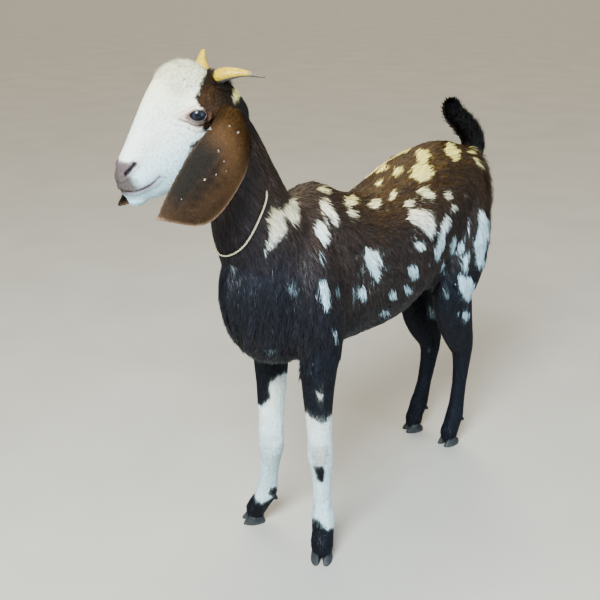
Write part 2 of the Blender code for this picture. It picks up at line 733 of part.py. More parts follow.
def slit_axes(side):
    """Along the eye's slit, up across it, and out of the head."""
    along = mirrored(SLIT_FORWARD, side)
    out = mirrored(SLIT_OUT, side)
    out = (out - along * out.dot(along)).normalized()
    up = along.cross(out) * -side
    return along, up, out


def eye_opening(side):
    """An almond cone from the eyeball's middle outwards, which opens the lids."""
    along, up, out = slit_axes(side)
    rings = []
    for reach in (0.25, 1.0, 2.2):
        ring = []
        for angle in np.arange(SLIT_POINTS) * 2 * math.pi / SLIT_POINTS:
            across = math.cos(angle)
            rise = math.sin(angle)
            pinch = 1.0 - 0.30 * max(0.0, across) ** 3
            x = across * (SLIT_FRONT if across > 0 else SLIT_REAR)
            y = rise * pinch * (SLIT_UPPER if rise > 0 else SLIT_LOWER)
            middle = mirrored(EYE, side) + out * EYE_RADIUS * reach
            ring.append(middle + (along * x + up * y) * (0.35 + 0.65 * reach))
        rings.append(ring)
    made = loft("eye_opening", rings)
    made.matrix_world = head_matrix()
    apply_place(made)
    return made


def mouth_line(inward, outward, half_inner, half_outer):
    """A thin band that follows the lips from corner to corner, to cut the mouth's line."""
    left = smooth_rows(MOUTH, 3)
    right = left[:0:-1] * np.array((1, -1, 1))
    path = np.vstack([right, left])
    along = np.gradient(path, axis=0)
    rings = []
    for place, way in zip(path, along):
        place = Vector(place)
        out = Vector(way).cross(Vector((0, 0, 1))).normalized()
        inner = place - out * inward
        outer = place + out * outward
        rise = Vector((0, 0, 1))
        rings.append((inner + rise * half_inner, outer + rise * half_outer,
                      outer - rise * half_outer, inner - rise * half_inner))
    made = loft("mouth_line", rings)
    made.matrix_world = head_matrix()
    apply_place(made)
    return made


def lip(name, inset, rise, radius):
    """A soft roll along the mouth, above or below its line."""
    left = smooth_rows(MOUTH, 2)
    right = left[:0:-1] * np.array((1, -1, 1))
    path = np.vstack([right, left])
    along = np.gradient(path, axis=0)
    rings = []
    for i, (place, way) in enumerate(zip(path, along)):
        ends = min(i, len(path) - 1 - i) / 4
        size = radius * min(1.0, 0.45 + 0.55 * ends)
        tangent = Vector(way).normalized()
        out = tangent.cross(Vector((0, 0, 1))).normalized()
        up = out.cross(tangent)
        middle = Vector(place) - out * inset + Vector((0, 0, rise))
        rings.append(oval(middle, out, up, size, size, size, count=12))
    made = loft(name, rings)
    made.matrix_world = head_matrix()
    return made


def nostril(side):
    """A comma-shaped pit that runs back and out from the nose pad."""
    turn = Vector((0.95, -0.20 * side, -0.24)).to_track_quat("X", "Z").to_matrix().to_4x4()
    made = ball("nostril", mirrored(NOSTRIL, side), NOSTRIL_RADII, turn)
    made.matrix_world = head_matrix()
    apply_place(made)
    return made


def head_pieces():
    """The head's masses: skull and face, orbits and lids, lips, chin, nose wings."""
    upper = lip("upper_lip", 0.0062, 0.0062, 0.0066)
    lower = lip("lower_lip", 0.0066, -0.0066, 0.0064)
    soft = [ball("chin", *CHIN)]
    for side in (1, -1):
        soft.append(ball("lids", mirrored(EYE, side), (EYE_RADIUS + LID_THICKNESS,) * 3))
        soft += [ball("face_ball", mirrored(middle, side), radii) for middle, radii in FACE_BALLS]
    for piece in soft:
        piece.matrix_world = head_matrix()
    return [head_form(), neck_form(), upper, lower] + soft


def body_pieces():
    """The body's masses: trunk, neck and head, four limbs, and the forms between them."""
    made = [torso_form(), neck_form(), head_form(), ball("breast", *BREAST), ball("groin", *GROIN)]
    for side in (1, -1):
        flip = Vector((side, 1, 1))
        made += [ball("bone", Vector(middle) * flip, radii) for middle, radii in (HIP, BUTTOCK, SHOULDER)]
    made += [limb("limb_" + foot, stations, FEET[foot][1]) for foot, stations in LIMBS.items()]
    return made


def part_off(body, name, planes, box=None):
    """A copy of the body inside half spaces (each a plane and an offset) and, where given, a box."""
    made = copy_of(body, name)
    cutters = [half_space(plane, offset) for plane, offset in planes]
    if box:
        cutters.append(block(*box))
    for cutter in cutters:
        boolean(made, "INTERSECT", cutter)
    drop(cutters)
    return made


def turned(plane):
    """The same plane, facing the other way."""
    return (plane[0], -plane[1])


def leg_region(foot, margin):
    """The space under a leg's cut, on its side of the midline, with a margin at the cut."""
    end, label = foot.split("_")
    side = 1 if label == "left" else -1
    low_y, high_y = LEG_REACH[end]
    xs = sorted((MIDLINE * side, LEG_BOX_SIDE * side))
    region = block((xs[0], low_y, -0.05), (xs[1], high_y, LEG_BOX_TOP))
    point, normal = FORELEG_TOP if end == "front" else HINDLEG_TOP
    flip = Vector((side, 1, 1))
    below = half_space((point * flip, -normal * flip), -margin)
    boolean(region, "INTERSECT", below)
    drop([below])
    return region


def socket(host, guests):
    """Cut a seat for each guest into its host, a gap wider than the guest."""
    for guest in guests:
        cutter = grown(guest)
        boolean(host, "DIFFERENCE", cutter)
        drop([cutter])


def collar_loop(neck):
    """Points of a string drawn tight round the neck, evenly spaced: it spans the hollows."""
    tree = BVHTree.FromPolygons([v.co for v in neck.data.vertices], [f.vertices for f in neck.data.polygons])
    axis = COLLAR_AXIS.normalized()
    front = axis.cross(Vector((1, 0, 0))).normalized()
    side = front.cross(axis)
    flat = []
    for angle in np.arange(COLLAR_CASTS) * 2 * math.pi / COLLAR_CASTS:
        way = side * math.cos(angle) + front * math.sin(angle)
        far = (tree.ray_cast(COLLAR_MIDDLE + way * 0.3, -way)[0] - COLLAR_MIDDLE).length
        while tree.find_nearest(COLLAR_MIDDLE + way * far)[3] < STRING_RADIUS + COLLAR_EASE:
            far += GAP
        flat.append(Vector((math.cos(angle), math.sin(angle))) * far)
    hull = [flat[i] for i in convex_hull_2d(flat)]
    corners = np.array([(*point,) for point in hull + hull[:1]])
    run = np.concatenate([[0], np.cumsum(np.hypot(*np.diff(corners, axis=0).T))])
    spots = np.arange(COLLAR_POINTS) / COLLAR_POINTS * run[-1]
    across = np.interp(spots, run, corners[:, 0])
    rise = np.interp(spots, run, corners[:, 1])
    return [COLLAR_MIDDLE + side * a + front * b for a, b in zip(across, rise)]


def string_collar(neck):
    """The string round the neck, low in front and high behind."""
    loop = collar_loop(neck)
    bm = bmesh.new()
    loops = []
    for i, place in enumerate(loop):
        tangent = (loop[(i + 1) % COLLAR_POINTS] - loop[i - 1]).normalized()
        up = tangent.cross(place - COLLAR_MIDDLE).normalized()
        radii = (STRING_RADIUS,) * 3
        ring = oval(place, up.cross(tangent), up, *radii, count=COLLAR_SIDES)
        loops.append([bm.verts.new(point) for point in ring])
    for low, high in zip(loops, loops[1:] + loops[:1]):
        for i in range(COLLAR_SIDES):
            j = (i + 1) % COLLAR_SIDES
            bm.faces.new((low[i], low[j], high[j], high[i]))
    return object_from("collar", bm)


def finish(piece, name, paint):
    """Name a piece, keep its one closed surface, move it to the model's origin and paint it."""
    keep_largest(piece)
    piece.name = name
    piece.data.name = name
    piece.data.transform(Matrix.Translation(-ORIGIN))
    piece.data.materials.clear()
    piece.data.materials.append(paint)
    piece.data.shade_smooth()


def make_head(skull):
    """The head with eyes, nostrils and mouth opened and sockets for what sits in it; and those pieces."""
    set_in = {}
    for side, label in ((1, "left"), (-1, "right")):
        eye_middle = head_matrix() @ mirrored(EYE, side)
        set_in["eye_" + label] = ball("eye", eye_middle, (EYE_RADIUS,) * 3, segments=16)
        set_in["ear_" + label] = ear("ear", side, EAR_EDGES[label])
        set_in["horn_" + label] = horn("horn", HORN_LINES[label], HORN_RADII[label])
    head = part_off(skull, "head", [(POLL, GAP / 2)])
    socket(head, set_in.values())
    openings = [eye_opening(1), eye_opening(-1), nostril(1), nostril(-1), mouth_line(*MOUTH_CUT)]
    for cutter in openings:
        boolean(head, "DIFFERENCE", cutter)
    drop(openings)
    return head, set_in


def make_legs(body, torso):
    """Each leg parted from the body, and the torso cut back to meet it."""
    legs = {}
    for foot in FEET:
        legs[foot] = copy_of(body, "leg")
        region = leg_region(foot, -GAP / 2)
        boolean(legs[foot], "INTERSECT", region)
        cutter = leg_region(foot, GAP / 2)
        boolean(torso, "DIFFERENCE", cutter)
        drop([region, cutter])
    return legs


def make_claws(foot, leg):
    """The two claws and two dewclaws of a foot, seated in the leg."""
    middle, heading = FEET[foot]
    made = {}
    for side, label in ((1, "left"), (-1, "right")):
        made["claw_" + foot + "_" + label] = claw("claw", middle, heading, side)
        made["dewclaw_" + foot + "_" + label] = dewclaw("dewclaw", FETLOCKS[foot], heading, side)
    socket(leg, made.values())
    return made


for old in list(bpy.data.objects):
    bpy.data.objects.remove(old)
for old in list(bpy.data.collections):
    bpy.data.collections.remove(old)
WORK = bpy.data.collections.new("gujri_goat")
bpy.context.scene.collection.children.link(WORK)

coat = material("black_brown_coat", (0.025, 0.017, 0.014), 0.55)
white = material("white_coat", (0.80, 0.77, 0.70), 0.6)
grey = material("hoof_grey", (0.16, 0.16, 0.16), 0.55)
straw = material("string_straw", (0.62, 0.54, 0.38), 0.8)
head_paints = {
    "ear": material("ear_brown", (0.10, 0.045, 0.025), 0.6),
    "horn": material("horn_amber", (0.50, 0.33, 0.08), 0.45),
    "eye": material("eye_dark", (0.02, 0.015, 0.01), 0.08),
}

body = fuse("body", body_pieces(), BODY_VOXEL, BODY_ROUNDS, BODY_TRIANGLES)
skull = fuse("skull", head_pieces(), HEAD_VOXEL, HEAD_ROUNDS, HEAD_TRIANGLES)
head, set_in = make_head(skull)
neck = part_off(body, "neck", [(NECK_BASE, GAP / 2), (turned(POLL), GAP / 2)])
torso = part_off(body, "torso", [(turned(NECK_BASE), GAP / 2)])
legs = make_legs(body, torso)
tail = hairy_tail()
socket(torso, [tail])
drop([body, skull])

for name, piece in set_in.items():
    finish(piece, name, head_paints[name.split("_")[0]])
for foot, leg in legs.items():
    for name, piece in make_claws(foot, leg).items():
        finish(piece, name, grey)
    finish(leg, foot + "_leg", white if foot.startswith("front") else coat)
finish(string_collar(neck), "collar", straw)
finish(head, "head", white)
finish(neck, "neck", coat)
finish(torso, "torso", coat)
finish(tail, "tail", coat)
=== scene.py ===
"""Looks of the standing goat: one skin over the solids, its coat in tufts, eyes, horns, hooves and string."""
import math

import bmesh
import bpy
import numpy as np
from mathutils import Matrix, Vector
from mathutils.bvhtree import BVHTree


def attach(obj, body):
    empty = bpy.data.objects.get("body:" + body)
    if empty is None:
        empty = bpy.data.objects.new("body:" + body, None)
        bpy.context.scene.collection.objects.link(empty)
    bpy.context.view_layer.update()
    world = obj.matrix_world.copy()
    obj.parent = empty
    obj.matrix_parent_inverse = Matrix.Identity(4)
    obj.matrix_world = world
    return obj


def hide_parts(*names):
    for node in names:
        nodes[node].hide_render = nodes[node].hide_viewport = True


MM = 0.001
SEED = 20
ORIGIN = np.array((-0.0085, 0.2105, 0.0))      # middle of the footprint, in the body's frame

# The view: where the lens stands, its turn and its focal length in picture widths
EYE_POINT = np.array((1.0195, -1.3435, 1.15))
VIEW_AZIMUTH = math.radians(40.3)
VIEW_ELEVATION = math.radians(21.5)
VIEW_ROLL = math.radians(-0.5)
PICTURE = 600
FOCAL = 870

# Head frame: F forward out of the nose, L to its left, D up out of the brow
HEAD_PLACE = np.array((-0.011, -0.146, 0.979)) - ORIGIN
HEAD_YAW = math.radians(18.7)
HEAD_PITCH = math.radians(26.6)
HEAD_ROLL = math.radians(0.7)

EYE = (0.0612, 0.0402, -0.0298)
EYE_RADIUS = 0.0155
SLIT_FORWARD = (0.854, -0.294, 0.427)
SLIT_OUT = (0.28, 0.94, 0.12)
SLIT_FRONT, SLIT_REAR, SLIT_UPPER, SLIT_LOWER = 0.0165, 0.0125, 0.0085, 0.0080

MOUTH = (
    (0.2205, 0.0000, -0.0755),
    (0.2180, 0.0090, -0.0770),
    (0.2095, 0.0175, -0.0810),
    (0.1920, 0.0240, -0.0860),
    (0.1760, 0.0275, -0.0870),
    (0.1610, 0.0300, -0.0835),
)
NOSTRIL = (
    (0.208, 0.011, -0.0575), (0.2015, 0.015, -0.0545), (0.193, 0.0195, -0.05), (0.183, 0.0215, -0.0465),
)
TEAR_GROOVE = ((0.0800, 0.0490, -0.0210), (0.0930, 0.0440, -0.0280), (0.1060, 0.0400, -0.0380))

# Front and rear edge of each ear, as if on the head's left
EAR_EDGES = {
    "left": (
        ((0.018, 0.044, -0.036), (0.061, 0.070, -0.045), (0.118, 0.080, -0.060), (0.176, 0.084, -0.089),
         (0.212, 0.085, -0.113)),
        ((-0.006, 0.040, -0.066), (0.022, 0.080, -0.110), (0.079, 0.096, -0.146), (0.151, 0.098, -0.163),
         (0.210, 0.086, -0.117)),
    ),
    "right": (
        ((0.018, 0.044, -0.036), (0.060, 0.070, -0.048), (0.117, 0.080, -0.068), (0.178, 0.084, -0.100),
         (0.2195, 0.085, -0.125)),
        ((-0.008, 0.040, -0.064), (0.016, 0.080, -0.110), (0.070, 0.096, -0.150), (0.144, 0.098, -0.1585),
         (0.2154, 0.086, -0.1322)),
    ),
}
EAR_CUP = 0.020
EAR_THICKNESS = 0.0030

# Horns: middle line in the head's frame, then half thickness and half width at each point
HORNS = {
    "left": (
        ((0.001, 0.020, -0.010), (-0.004, 0.036, -0.001), (-0.0165, 0.054, -0.0025), (-0.030, 0.070, -0.0095),
         (-0.047, 0.088, -0.024)),
        ((0.0108, 0.0120), (0.0112, 0.0136), (0.0085, 0.0102), (0.0046, 0.0056), (0.0014, 0.0016)),
    ),
    "right": (
        ((0.003, -0.019, -0.010), (-0.005, -0.033, 0.002), (-0.016, -0.046, 0.011), (-0.031, -0.058, 0.019)),
        ((0.0102, 0.0118), (0.0099, 0.0119), (0.0076, 0.0086), (0.0036, 0.0040)),
    ),
}

# Tail: middle line, half width of the brush and of its core
TAIL = (
    (0.0, 0.6850, 0.6900, 0.0220, 0.0220),
    (0.0, 0.6950, 0.7260, 0.0270, 0.0230),
    (0.0, 0.6800, 0.7610, 0.0262, 0.0150),
    (0.0, 0.6420, 0.7930, 0.0232, 0.0125),
    (0.0, 0.6120, 0.8130, 0.0205, 0.0105),
    (0.0, 0.6010, 0.8230, 0.0150, 0.0070),
    (0.0, 0.5960, 0.8300, 0.0070, 0.0030),
)
TAIL_FLATTEN = 0.88

# The hairy mounds that each horn stands on and comes out behind
HORN_BEDS = (((0.002, 0.019, -0.015), 0.0150), ((0.0125, 0.0285, -0.0055), 0.0130))
FLANK_FOLD = ((0.072, 0.405, 0.498), (0.016, 0.060, 0.027))

# The skin
FLESH = (
    "torso", "neck", "head", "front_left_leg", "front_right_leg", "hind_left_leg", "hind_right_leg",
    "ear_left", "ear_right", "tail",
)
TORSO, NECK, HEAD, LEG_FL, LEG_FR, LEG_HL, LEG_HR, EAR_L, EAR_R, TAIL_PART = range(10)
CLOSE_CUTS = 0.45 * MM
SKIN_VOXEL = 1.7 * MM
SKIN_TRIANGLES = 170000
SMOOTH_ROUNDS = 60
SHRINK, SWELL = 0.50, 0.515              # each round's step inward and back out
# How readily the head and the feet lose triangles, where the body is 1
HEAD_COARSE = 0.05
FEET_COARSE = 0.5
FORELEG_COARSE = 0.2                     # the white of the forelegs has sharp edges
COARSE_FACTOR = 2e-6
FEET_TOP = 0.10
EAR_ROOT = 0.030                         # how far forward the ear's root is rounded into the head
# For each part, in this order; depths, lengths, spacings and widths are in millimetres
COAT_DEPTH = (2.6, 2.4, 0.9, 1.3, 1.3, 1.3, 1.3, 0.2, 0.2, 0.2)
SMOOTHNESS = (1.0, 1.0, 0.28, 0.6, 0.6, 0.6, 0.6, 0.10, 0.10, 0.10)
LENGTH = (15.0, 15.0, 5.0, 6.5, 6.5, 7.0, 7.0, 4.0, 4.0, 22.0)
SPACING = (1.75, 1.75, 1.05, 1.35, 1.35, 1.45, 1.45, 1.5, 1.5, 1.6)
WIDTH = (2.1, 2.0, 0.9, 1.3, 1.3, 1.4, 1.4, 1.1, 1.1, 2.4)

# Coat
TUFTS = 290000
TAIL_TUFTS = 7000
LONG_TUFT = 0.023
SEEN_SHARE = 0.85                        # the share of a tuft's length at which its colour is taken
PIECE_TRIANGLES = 190000

# Markings, measured on the photograph: outlines of the large patches
PATCHES = (
    ((274.5, 210), (282.6, 212), (286, 219), (287.7, 234), (279.7, 243), (272, 250), (265, 259),
     (263.5, 257), (266, 251), (268, 242), (270, 234), (269, 224), (270, 217)),
    ((299, 192.5), (295, 198), (289.5, 204), (287, 208), (285, 212.5), (287.7, 218), (291.7, 227.5),
     (294.6, 231), (298.6, 227.5), (301, 220), (300.4, 210), (300.4, 202)),
    ((325.6, 197), (323.3, 202), (321.6, 208), (324, 216), (331.4, 222), (337.7, 231), (340.5, 224),
     (339.4, 218), (335.4, 210), (331.4, 201.6)),
    ((320.4, 222), (317, 225), (316, 232.6), (319.3, 242.4), (324.5, 250.4), (329, 244), (330.8, 238.4),
     (329, 232), (326.2, 225)),
    ((416, 151), (421, 148.5), (428, 150), (431, 154), (431, 160), (428, 165), (422, 165), (418, 160)),
    ((413, 165), (420, 162.5), (428, 163), (434, 166), (436, 172), (433, 178), (427, 182), (418, 181),
     (413, 177), (412, 170)),
    ((419, 189), (424, 186), (431, 187), (434, 191), (437.5, 196.5), (432, 200), (426, 199), (421, 195)),
    ((410, 210), (418, 208), (427, 210), (433, 214), (436, 221), (436.5, 229), (435, 236), (431.5, 243.5),
     (426, 237), (420, 230), (413, 225), (409, 218)),
    ((447, 217), (452, 219), (450, 228), (446, 238), (443, 250), (439, 262), (436, 266), (434, 258),
     (436, 246), (439, 234), (443, 224)),
    ((479, 211), (485, 214), (489, 222), (489, 236), (487, 246), (485, 256), (484, 266), (479, 275),
     (474.5, 268), (474, 256), (472.5, 246), (475, 238), (478, 230), (478, 220)),
    ((457, 278), (463, 276), (468, 280), (475, 284), (475, 291), (472, 298), (469, 304.5), (464, 302),
     (461, 294), (457, 288)),
    ((365, 254), (370, 251), (377, 253), (381, 258), (382, 266), (381, 275), (379, 285), (375, 283),
     (369, 274), (365, 264)),
    ((320, 285), (325, 283.5), (329, 289), (331, 298), (330.5, 308), (327, 316), (322, 312), (318.5, 303),
     (318, 292)),
    ((446, 143), (452, 141.5), (457, 145), (461, 152), (461, 161), (457, 163), (453, 158), (448, 154),
     (445, 149)),
)
# Small ones: middle column, middle row, width, height, lean in degrees (clockwise), strength
SPOTS = (
    (326, 190.5, 15, 7, 14, 0.9), (352.5, 202, 14, 13, 0, 1), (353.5, 214.5, 10, 11, 0, 0.9),
    (376.5, 204.5, 15, 12, 10, 1), (394.5, 195, 7.5, 12, 0, 0.8), (381, 183, 8, 9, -20, 0.9),
    (399, 170, 11, 9, -25, 0.9), (411, 204, 10, 11, 0, 0.75), (420, 248, 12, 10, 0, 0.75),
    (449, 196, 8.5, 12, 0, 0.85), (454, 209.5, 6, 9, 0, 0.8), (452.5, 249, 6.5, 21, 4, 0.8),
    (460.5, 253, 6.5, 19, 4, 0.85), (442, 269, 5.5, 14, 0, 0.7), (465.5, 265, 7, 19, 6, 0.95),
    (469, 231, 3.5, 18, 0, 0.55), (446.5, 293, 7, 15, 0, 0.35), (431.5, 314, 8, 17, -8, 0.55),
    (458, 315.5, 4, 8, 0, 0.5), (465, 316.5, 8.5, 10.5, 0, 0.9), (413, 274, 10.5, 17, -8, 0.85),
    (408, 292, 10, 9, 0, 0.65), (392.5, 297, 10, 9, 0, 0.55), (384, 314.5, 11, 7, -15, 0.65),
    (353.5, 297, 7, 11, 0, 0.4), (362, 296.5, 10, 16, -8, 0.6), (337.5, 296, 7, 14, 0, 0.4),
    (323.3, 261, 5.5, 12, 6, 0.8), (306.3, 270.5, 4, 11, 0, 0.7), (293, 292, 11, 17, -12, 0.3),
    (233, 270.5, 5, 13, -12, 0.3), (269, 352, 13, 6, 0, 0.2), (251, 293.5, 3, 9, -12, 0.3),
    (334.5, 339, 6, 16, -8, 0.7), (471.5, 153.5, 11, 4.5, 22, 0.75), (476, 160, 13, 5, 38, 0.8),
    (480, 167.5, 11, 5, 55, 0.75), (465.5, 198, 3, 4, 0, 0.6), (429, 351, 5, 8, 0, 0.4),
    (225, 217, 3, 9, 0, 0.3), (278, 201, 7, 5, -20, 0.25), (429, 267, 3, 2.5, 0, 0.7),
)
# Two strips on the far side of the back: x, y, half width, half length
FAR_STRIPS = ((-0.034, 0.190, 0.018, 0.050), (-0.048, 0.345, 0.016, 0.070))
MARK_REACH = 0.055
HAZE = 0.5                               # marks weaker than this are a haze of single white hairs

# Dark of the head and neck on the photograph, and the pale patch of the nape
HEAD_DARK = (
    (214, 62), (211, 68), (207, 70.5), (205, 75.5), (202, 78), (202.5, 82), (199.7, 84), (199, 88.6),
    (196.5, 94), (195.5, 99), (197, 103), (199, 106), (203, 108.5), (205.5, 117), (204.5, 121.5),
    (202.5, 126.4), (201.3, 128.8), (204.4, 131.3), (206.5, 133), (203, 137.5), (197, 141), (192.7, 141.7),
    (190, 146), (188.2, 152), (184, 172), (177, 200), (176, 270), (310, 270), (310, 60), (236, 60),
    (222, 64),
)
NAPE = (238.5, 92, 8, 22, 18)
# Brown spots over the eye: column, row, radius, strength
BROW_TAN = ((206, 98, 11.0, 1.0), (213, 113, 9.0, 0.9))
NOSE_PAD = (
    (116, 163), (121, 160.5), (127, 161.5), (133, 160.5), (137.5, 162), (137, 166), (131, 172), (125, 177),
    (119, 176),
)

WHITE = np.array((0.80, 0.83, 0.77))
# Cream of the white hair: partly its own tint, partly painted warm light from above
CREAM_AND_WARM_LIGHT = np.array((0.86, 0.68, 0.13))
# Painted light: the band where the warm light above gives way to the cool light below
MID_LIGHT_PEACH = np.array((0.86, 0.58, 0.27))
# Painted cool light: white as lit by cool light from the front and below
COOL_LIT_WHITE = np.array((0.42, 0.69, 0.85))
DARK = np.array((0.0033, 0.0032, 0.0039))
SUNLIT_SHEEN_BROWN = np.array((0.043, 0.0195, 0.0024))       # painted sheen: the brown that the warm top light brings out on the back
FLANK_DARK = np.array((0.0190, 0.0125, 0.0110))
# Painted bluish sheen on the near-black coat low down
BLUE_SHEEN_DARK = np.array((0.0042, 0.0056, 0.0104))
BROWN = np.array((0.072, 0.028, 0.0060))
EAR_BROWN = np.array((0.060, 0.0285, 0.0115))
EAR_GREY = np.array((0.0068, 0.0052, 0.0042))
BEHIND_EYE = np.array((0.0170, 0.0075, 0.0018))
# Painted rim highlight along the ear's edges
EAR_RIM_HIGHLIGHT = np.array((0.30, 0.18, 0.11))
PINK = np.array((0.60, 0.33, 0.29))
LIP = np.array((0.100, 0.070, 0.082))
KNEE_TAN = np.array((0.27, 0.185, 0.155))
# Grey of the muzzle's front: partly its own grey skin, partly painted shade
MUZZLE_GREY_AND_SHADE = np.array((0.058, 0.044, 0.040))
LID_TAN = np.array((0.27, 0.14, 0.085))
EAR_TIP = np.array((0.0140, 0.0092, 0.0064))
NOSE_GREY = np.array((0.088, 0.058, 0.056))
LID_SHADE = np.array((0.20, 0.12, 0.11))
CORNER_RED = np.array((0.22, 0.05, 0.05))
EYE_EDGE = np.array((0.045, 0.022, 0.022))
# Painted shade in the slit of the mouth
MOUTH_SLIT_SHADE = np.array((0.085, 0.045, 0.045))
# Painted shade in the nostrils
NOSTRIL_SHADE = np.array((0.012, 0.006, 0.006))
INNER_CORNER = np.array((0.42, 0.10, 0.09))
LID_WET = np.array((0.055, 0.030, 0.028))

draw = np.random.default_rng(SEED)
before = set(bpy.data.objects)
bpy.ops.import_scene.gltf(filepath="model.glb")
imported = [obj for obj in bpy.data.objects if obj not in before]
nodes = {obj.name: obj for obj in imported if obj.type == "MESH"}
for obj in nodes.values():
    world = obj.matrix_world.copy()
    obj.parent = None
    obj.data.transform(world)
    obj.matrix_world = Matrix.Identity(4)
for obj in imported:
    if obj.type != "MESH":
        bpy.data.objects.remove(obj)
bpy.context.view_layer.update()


# Small helpers

def unit(v):
    return v / np.maximum(np.linalg.norm(v, axis=-1, keepdims=True), 1e-12)


def smoothstep(low, high, x):
    t = np.clip((x - low) / (high - low), 0.0, 1.0)
    return t * t * (3 - 2 * t)


def mix(a, b, share):
    share = np.asarray(share)[..., None]
    return a * (1 - share) + b * share


def hump(x, width):
    """A soft bump: 1 at nought, nearly 0 beyond two widths."""
    return np.exp(-(x / width) ** 2)


def scatter(p, scale, seed):
    """Smooth seeded noise of places, from -1 to 1."""
    q = p / scale + seed * 7.31 + 1000.0
    cell = np.floor(q).astype(np.int64)
    f = q - cell
    f = f * f * (3 - 2 * f)
    total = np.zeros(len(p))
    for corner in range(8):
        step = np.array((corner & 1, corner >> 1 & 1, corner >> 2 & 1))
        k = cell + step
        h = k[:, 0] * 73856093 ^ k[:, 1] * 19349663 ^ k[:, 2] * 83492791 ^ seed * 2654435761
        h = (h ^ (h >> 13)) * 1274126177
        h = (h ^ (h >> 16)) & 0xFFFF
        weight = np.prod(np.where(step == 1, f, 1 - f), axis=1)
        total += weight * (h / 32767.5 - 1.0)
    return total


def streaks(points, flow, scale, reach, seed, steps=5):
    """Noise drawn out along the lie of the coat, about -1 to 1."""
    total = np.zeros(len(points))
    for t in np.linspace(-reach, reach, steps):
        total += scatter(points + flow * t, scale, seed)
    return np.clip(total / steps ** 0.6, -1, 1)


def curve_point(a, b, c, d, t):
    """The place at share t of the way from b to c on a smooth curve through four rows."""
    return 0.5 * (2 * b + (c - a) * t + (2 * a - 5 * b + 4 * c - d) * t ** 2
                  + (3 * b - a - 3 * c + d) * t ** 3)


def smooth_rows(rows, per_span):
    """Rows on a smooth curve through the given ones."""
    rows = np.array(rows, float)
    padded = np.vstack((2 * rows[0] - rows[1], rows, 2 * rows[-1] - rows[-2]))
    out = []
    for i in range(1, len(padded) - 2):
        out += [curve_point(*padded[i - 1:i + 3], t) for t in np.arange(per_span) / per_span]
    return np.array(out + [rows[-1]])


def added(name, data):
    made = bpy.data.objects.new(name, data)
    bpy.context.scene.collection.objects.link(made)
    return made


def from_bmesh(name, bm):
    me = bpy.data.meshes.new(name)
    bm.to_mesh(me)
    bm.free()
    return added(name, me)


def face_outward(piece, weld=0.0):
    """Turns all faces outward, after welding points closer than weld."""
    bm = bmesh.new()
    bm.from_mesh(piece.data)
    if weld:
        bmesh.ops.remove_doubles(bm, verts=bm.verts, dist=weld)
    bmesh.ops.recalc_face_normals(bm, faces=bm.faces)
    bm.to_mesh(piece.data)
    bm.free()
    return piece


def mesh_object(name, points, faces):
    """A mesh object from arrays: places, and faces of one length or a list of them."""
    me = bpy.data.meshes.new(name)
    if isinstance(faces, np.ndarray):
        count, sides = faces.shape
        me.vertices.add(len(points))
        me.vertices.foreach_set("co", np.ascontiguousarray(points, np.float32).ravel())
        me.loops.add(count * sides)
        me.loops.foreach_set("vertex_index", faces.astype(np.int32).ravel())
        me.polygons.add(count)
        me.polygons.foreach_set("loop_start", np.arange(count, dtype=np.int32) * sides)
        me.update(calc_edges=True)
    else:
        me.from_pydata([tuple(p) for p in points], [], [tuple(f) for f in faces])
        me.update()
    return added(name, me)


def places(piece):
    co = np.empty(len(piece.data.vertices) * 3, np.float32)
    piece.data.vertices.foreach_get("co", co)
    return co.reshape(-1, 3).astype(float)


def normals_of(piece):
    normal = np.empty(len(piece.data.vertices) * 3, np.float32)
    piece.data.vertex_normals.foreach_get("vector", normal)
    return normal.reshape(-1, 3).astype(float)


def set_places(piece, points):
    piece.data.vertices.foreach_set("co", points.astype(np.float32).ravel())
    piece.data.update()


def colour_points(piece, colours):
    layer = piece.data.color_attributes.new("coat", "FLOAT_COLOR", "POINT")
    full = np.ones((len(colours), 4), np.float32)
    full[:, :3] = np.clip(colours, 0, 1)
    layer.data.foreach_set("color", full.ravel())


def vector_points(piece, name, vectors):
    layer = piece.data.attributes.new(name, "FLOAT_VECTOR", "POINT")
    layer.data.foreach_set("vector", np.array(vectors, np.float32).ravel())


def shade_smooth(piece):
    piece.data.polygons.foreach_set("use_smooth", np.ones(len(piece.data.polygons), bool))
    piece.data.update()


def bake(piece):
    graph = bpy.context.evaluated_depsgraph_get()
    made = bpy.data.meshes.new_from_object(piece.evaluated_get(graph))
    piece.modifiers.clear()
    piece.data = made


def loft(name, rings, closed=False):
    """A tube through rings of equal count, capped at both ends unless closed on itself."""
    rings = np.array(rings)
    levels, sides = rings.shape[:2]
    faces = []
    for i in range(levels if closed else levels - 1):
        a, b = i * sides, (i + 1) % levels * sides
        for j in range(sides):
            k = (j + 1) % sides
            faces.append((a + j, a + k, b + k, b + j))
    if not closed:
        faces.append(tuple(range(sides - 1, -1, -1)))
        faces.append(tuple(range((levels - 1) * sides, levels * sides)))
    return face_outward(mesh_object(name, rings.reshape(-1, 3), faces))


# Frames of the head and of the view

def head_axes():
    c, s = math.cos(HEAD_PITCH), math.sin(HEAD_PITCH)
    f = np.array((-math.sin(HEAD_YAW) * c, -math.cos(HEAD_YAW) * c, -s))
    side = np.array((math.cos(HEAD_YAW), -math.sin(HEAD_YAW), 0.0))
    up = np.cross(f, side)
    side = unit(math.cos(HEAD_ROLL) * side + math.sin(HEAD_ROLL) * up)
    return np.array((f, side, np.cross(f, side)))


HEAD_AXES = head_axes()


def to_head(points):
    return (points - HEAD_PLACE) @ HEAD_AXES.T


def from_head(points):
    return HEAD_PLACE + np.asarray(points) @ HEAD_AXES


def folded_head(points):
    """Places in the head's frame, and the same folded onto its left half."""
    h = to_head(points)
    return h, np.stack((h[:, 0], np.abs(h[:, 1]), h[:, 2]), 1)


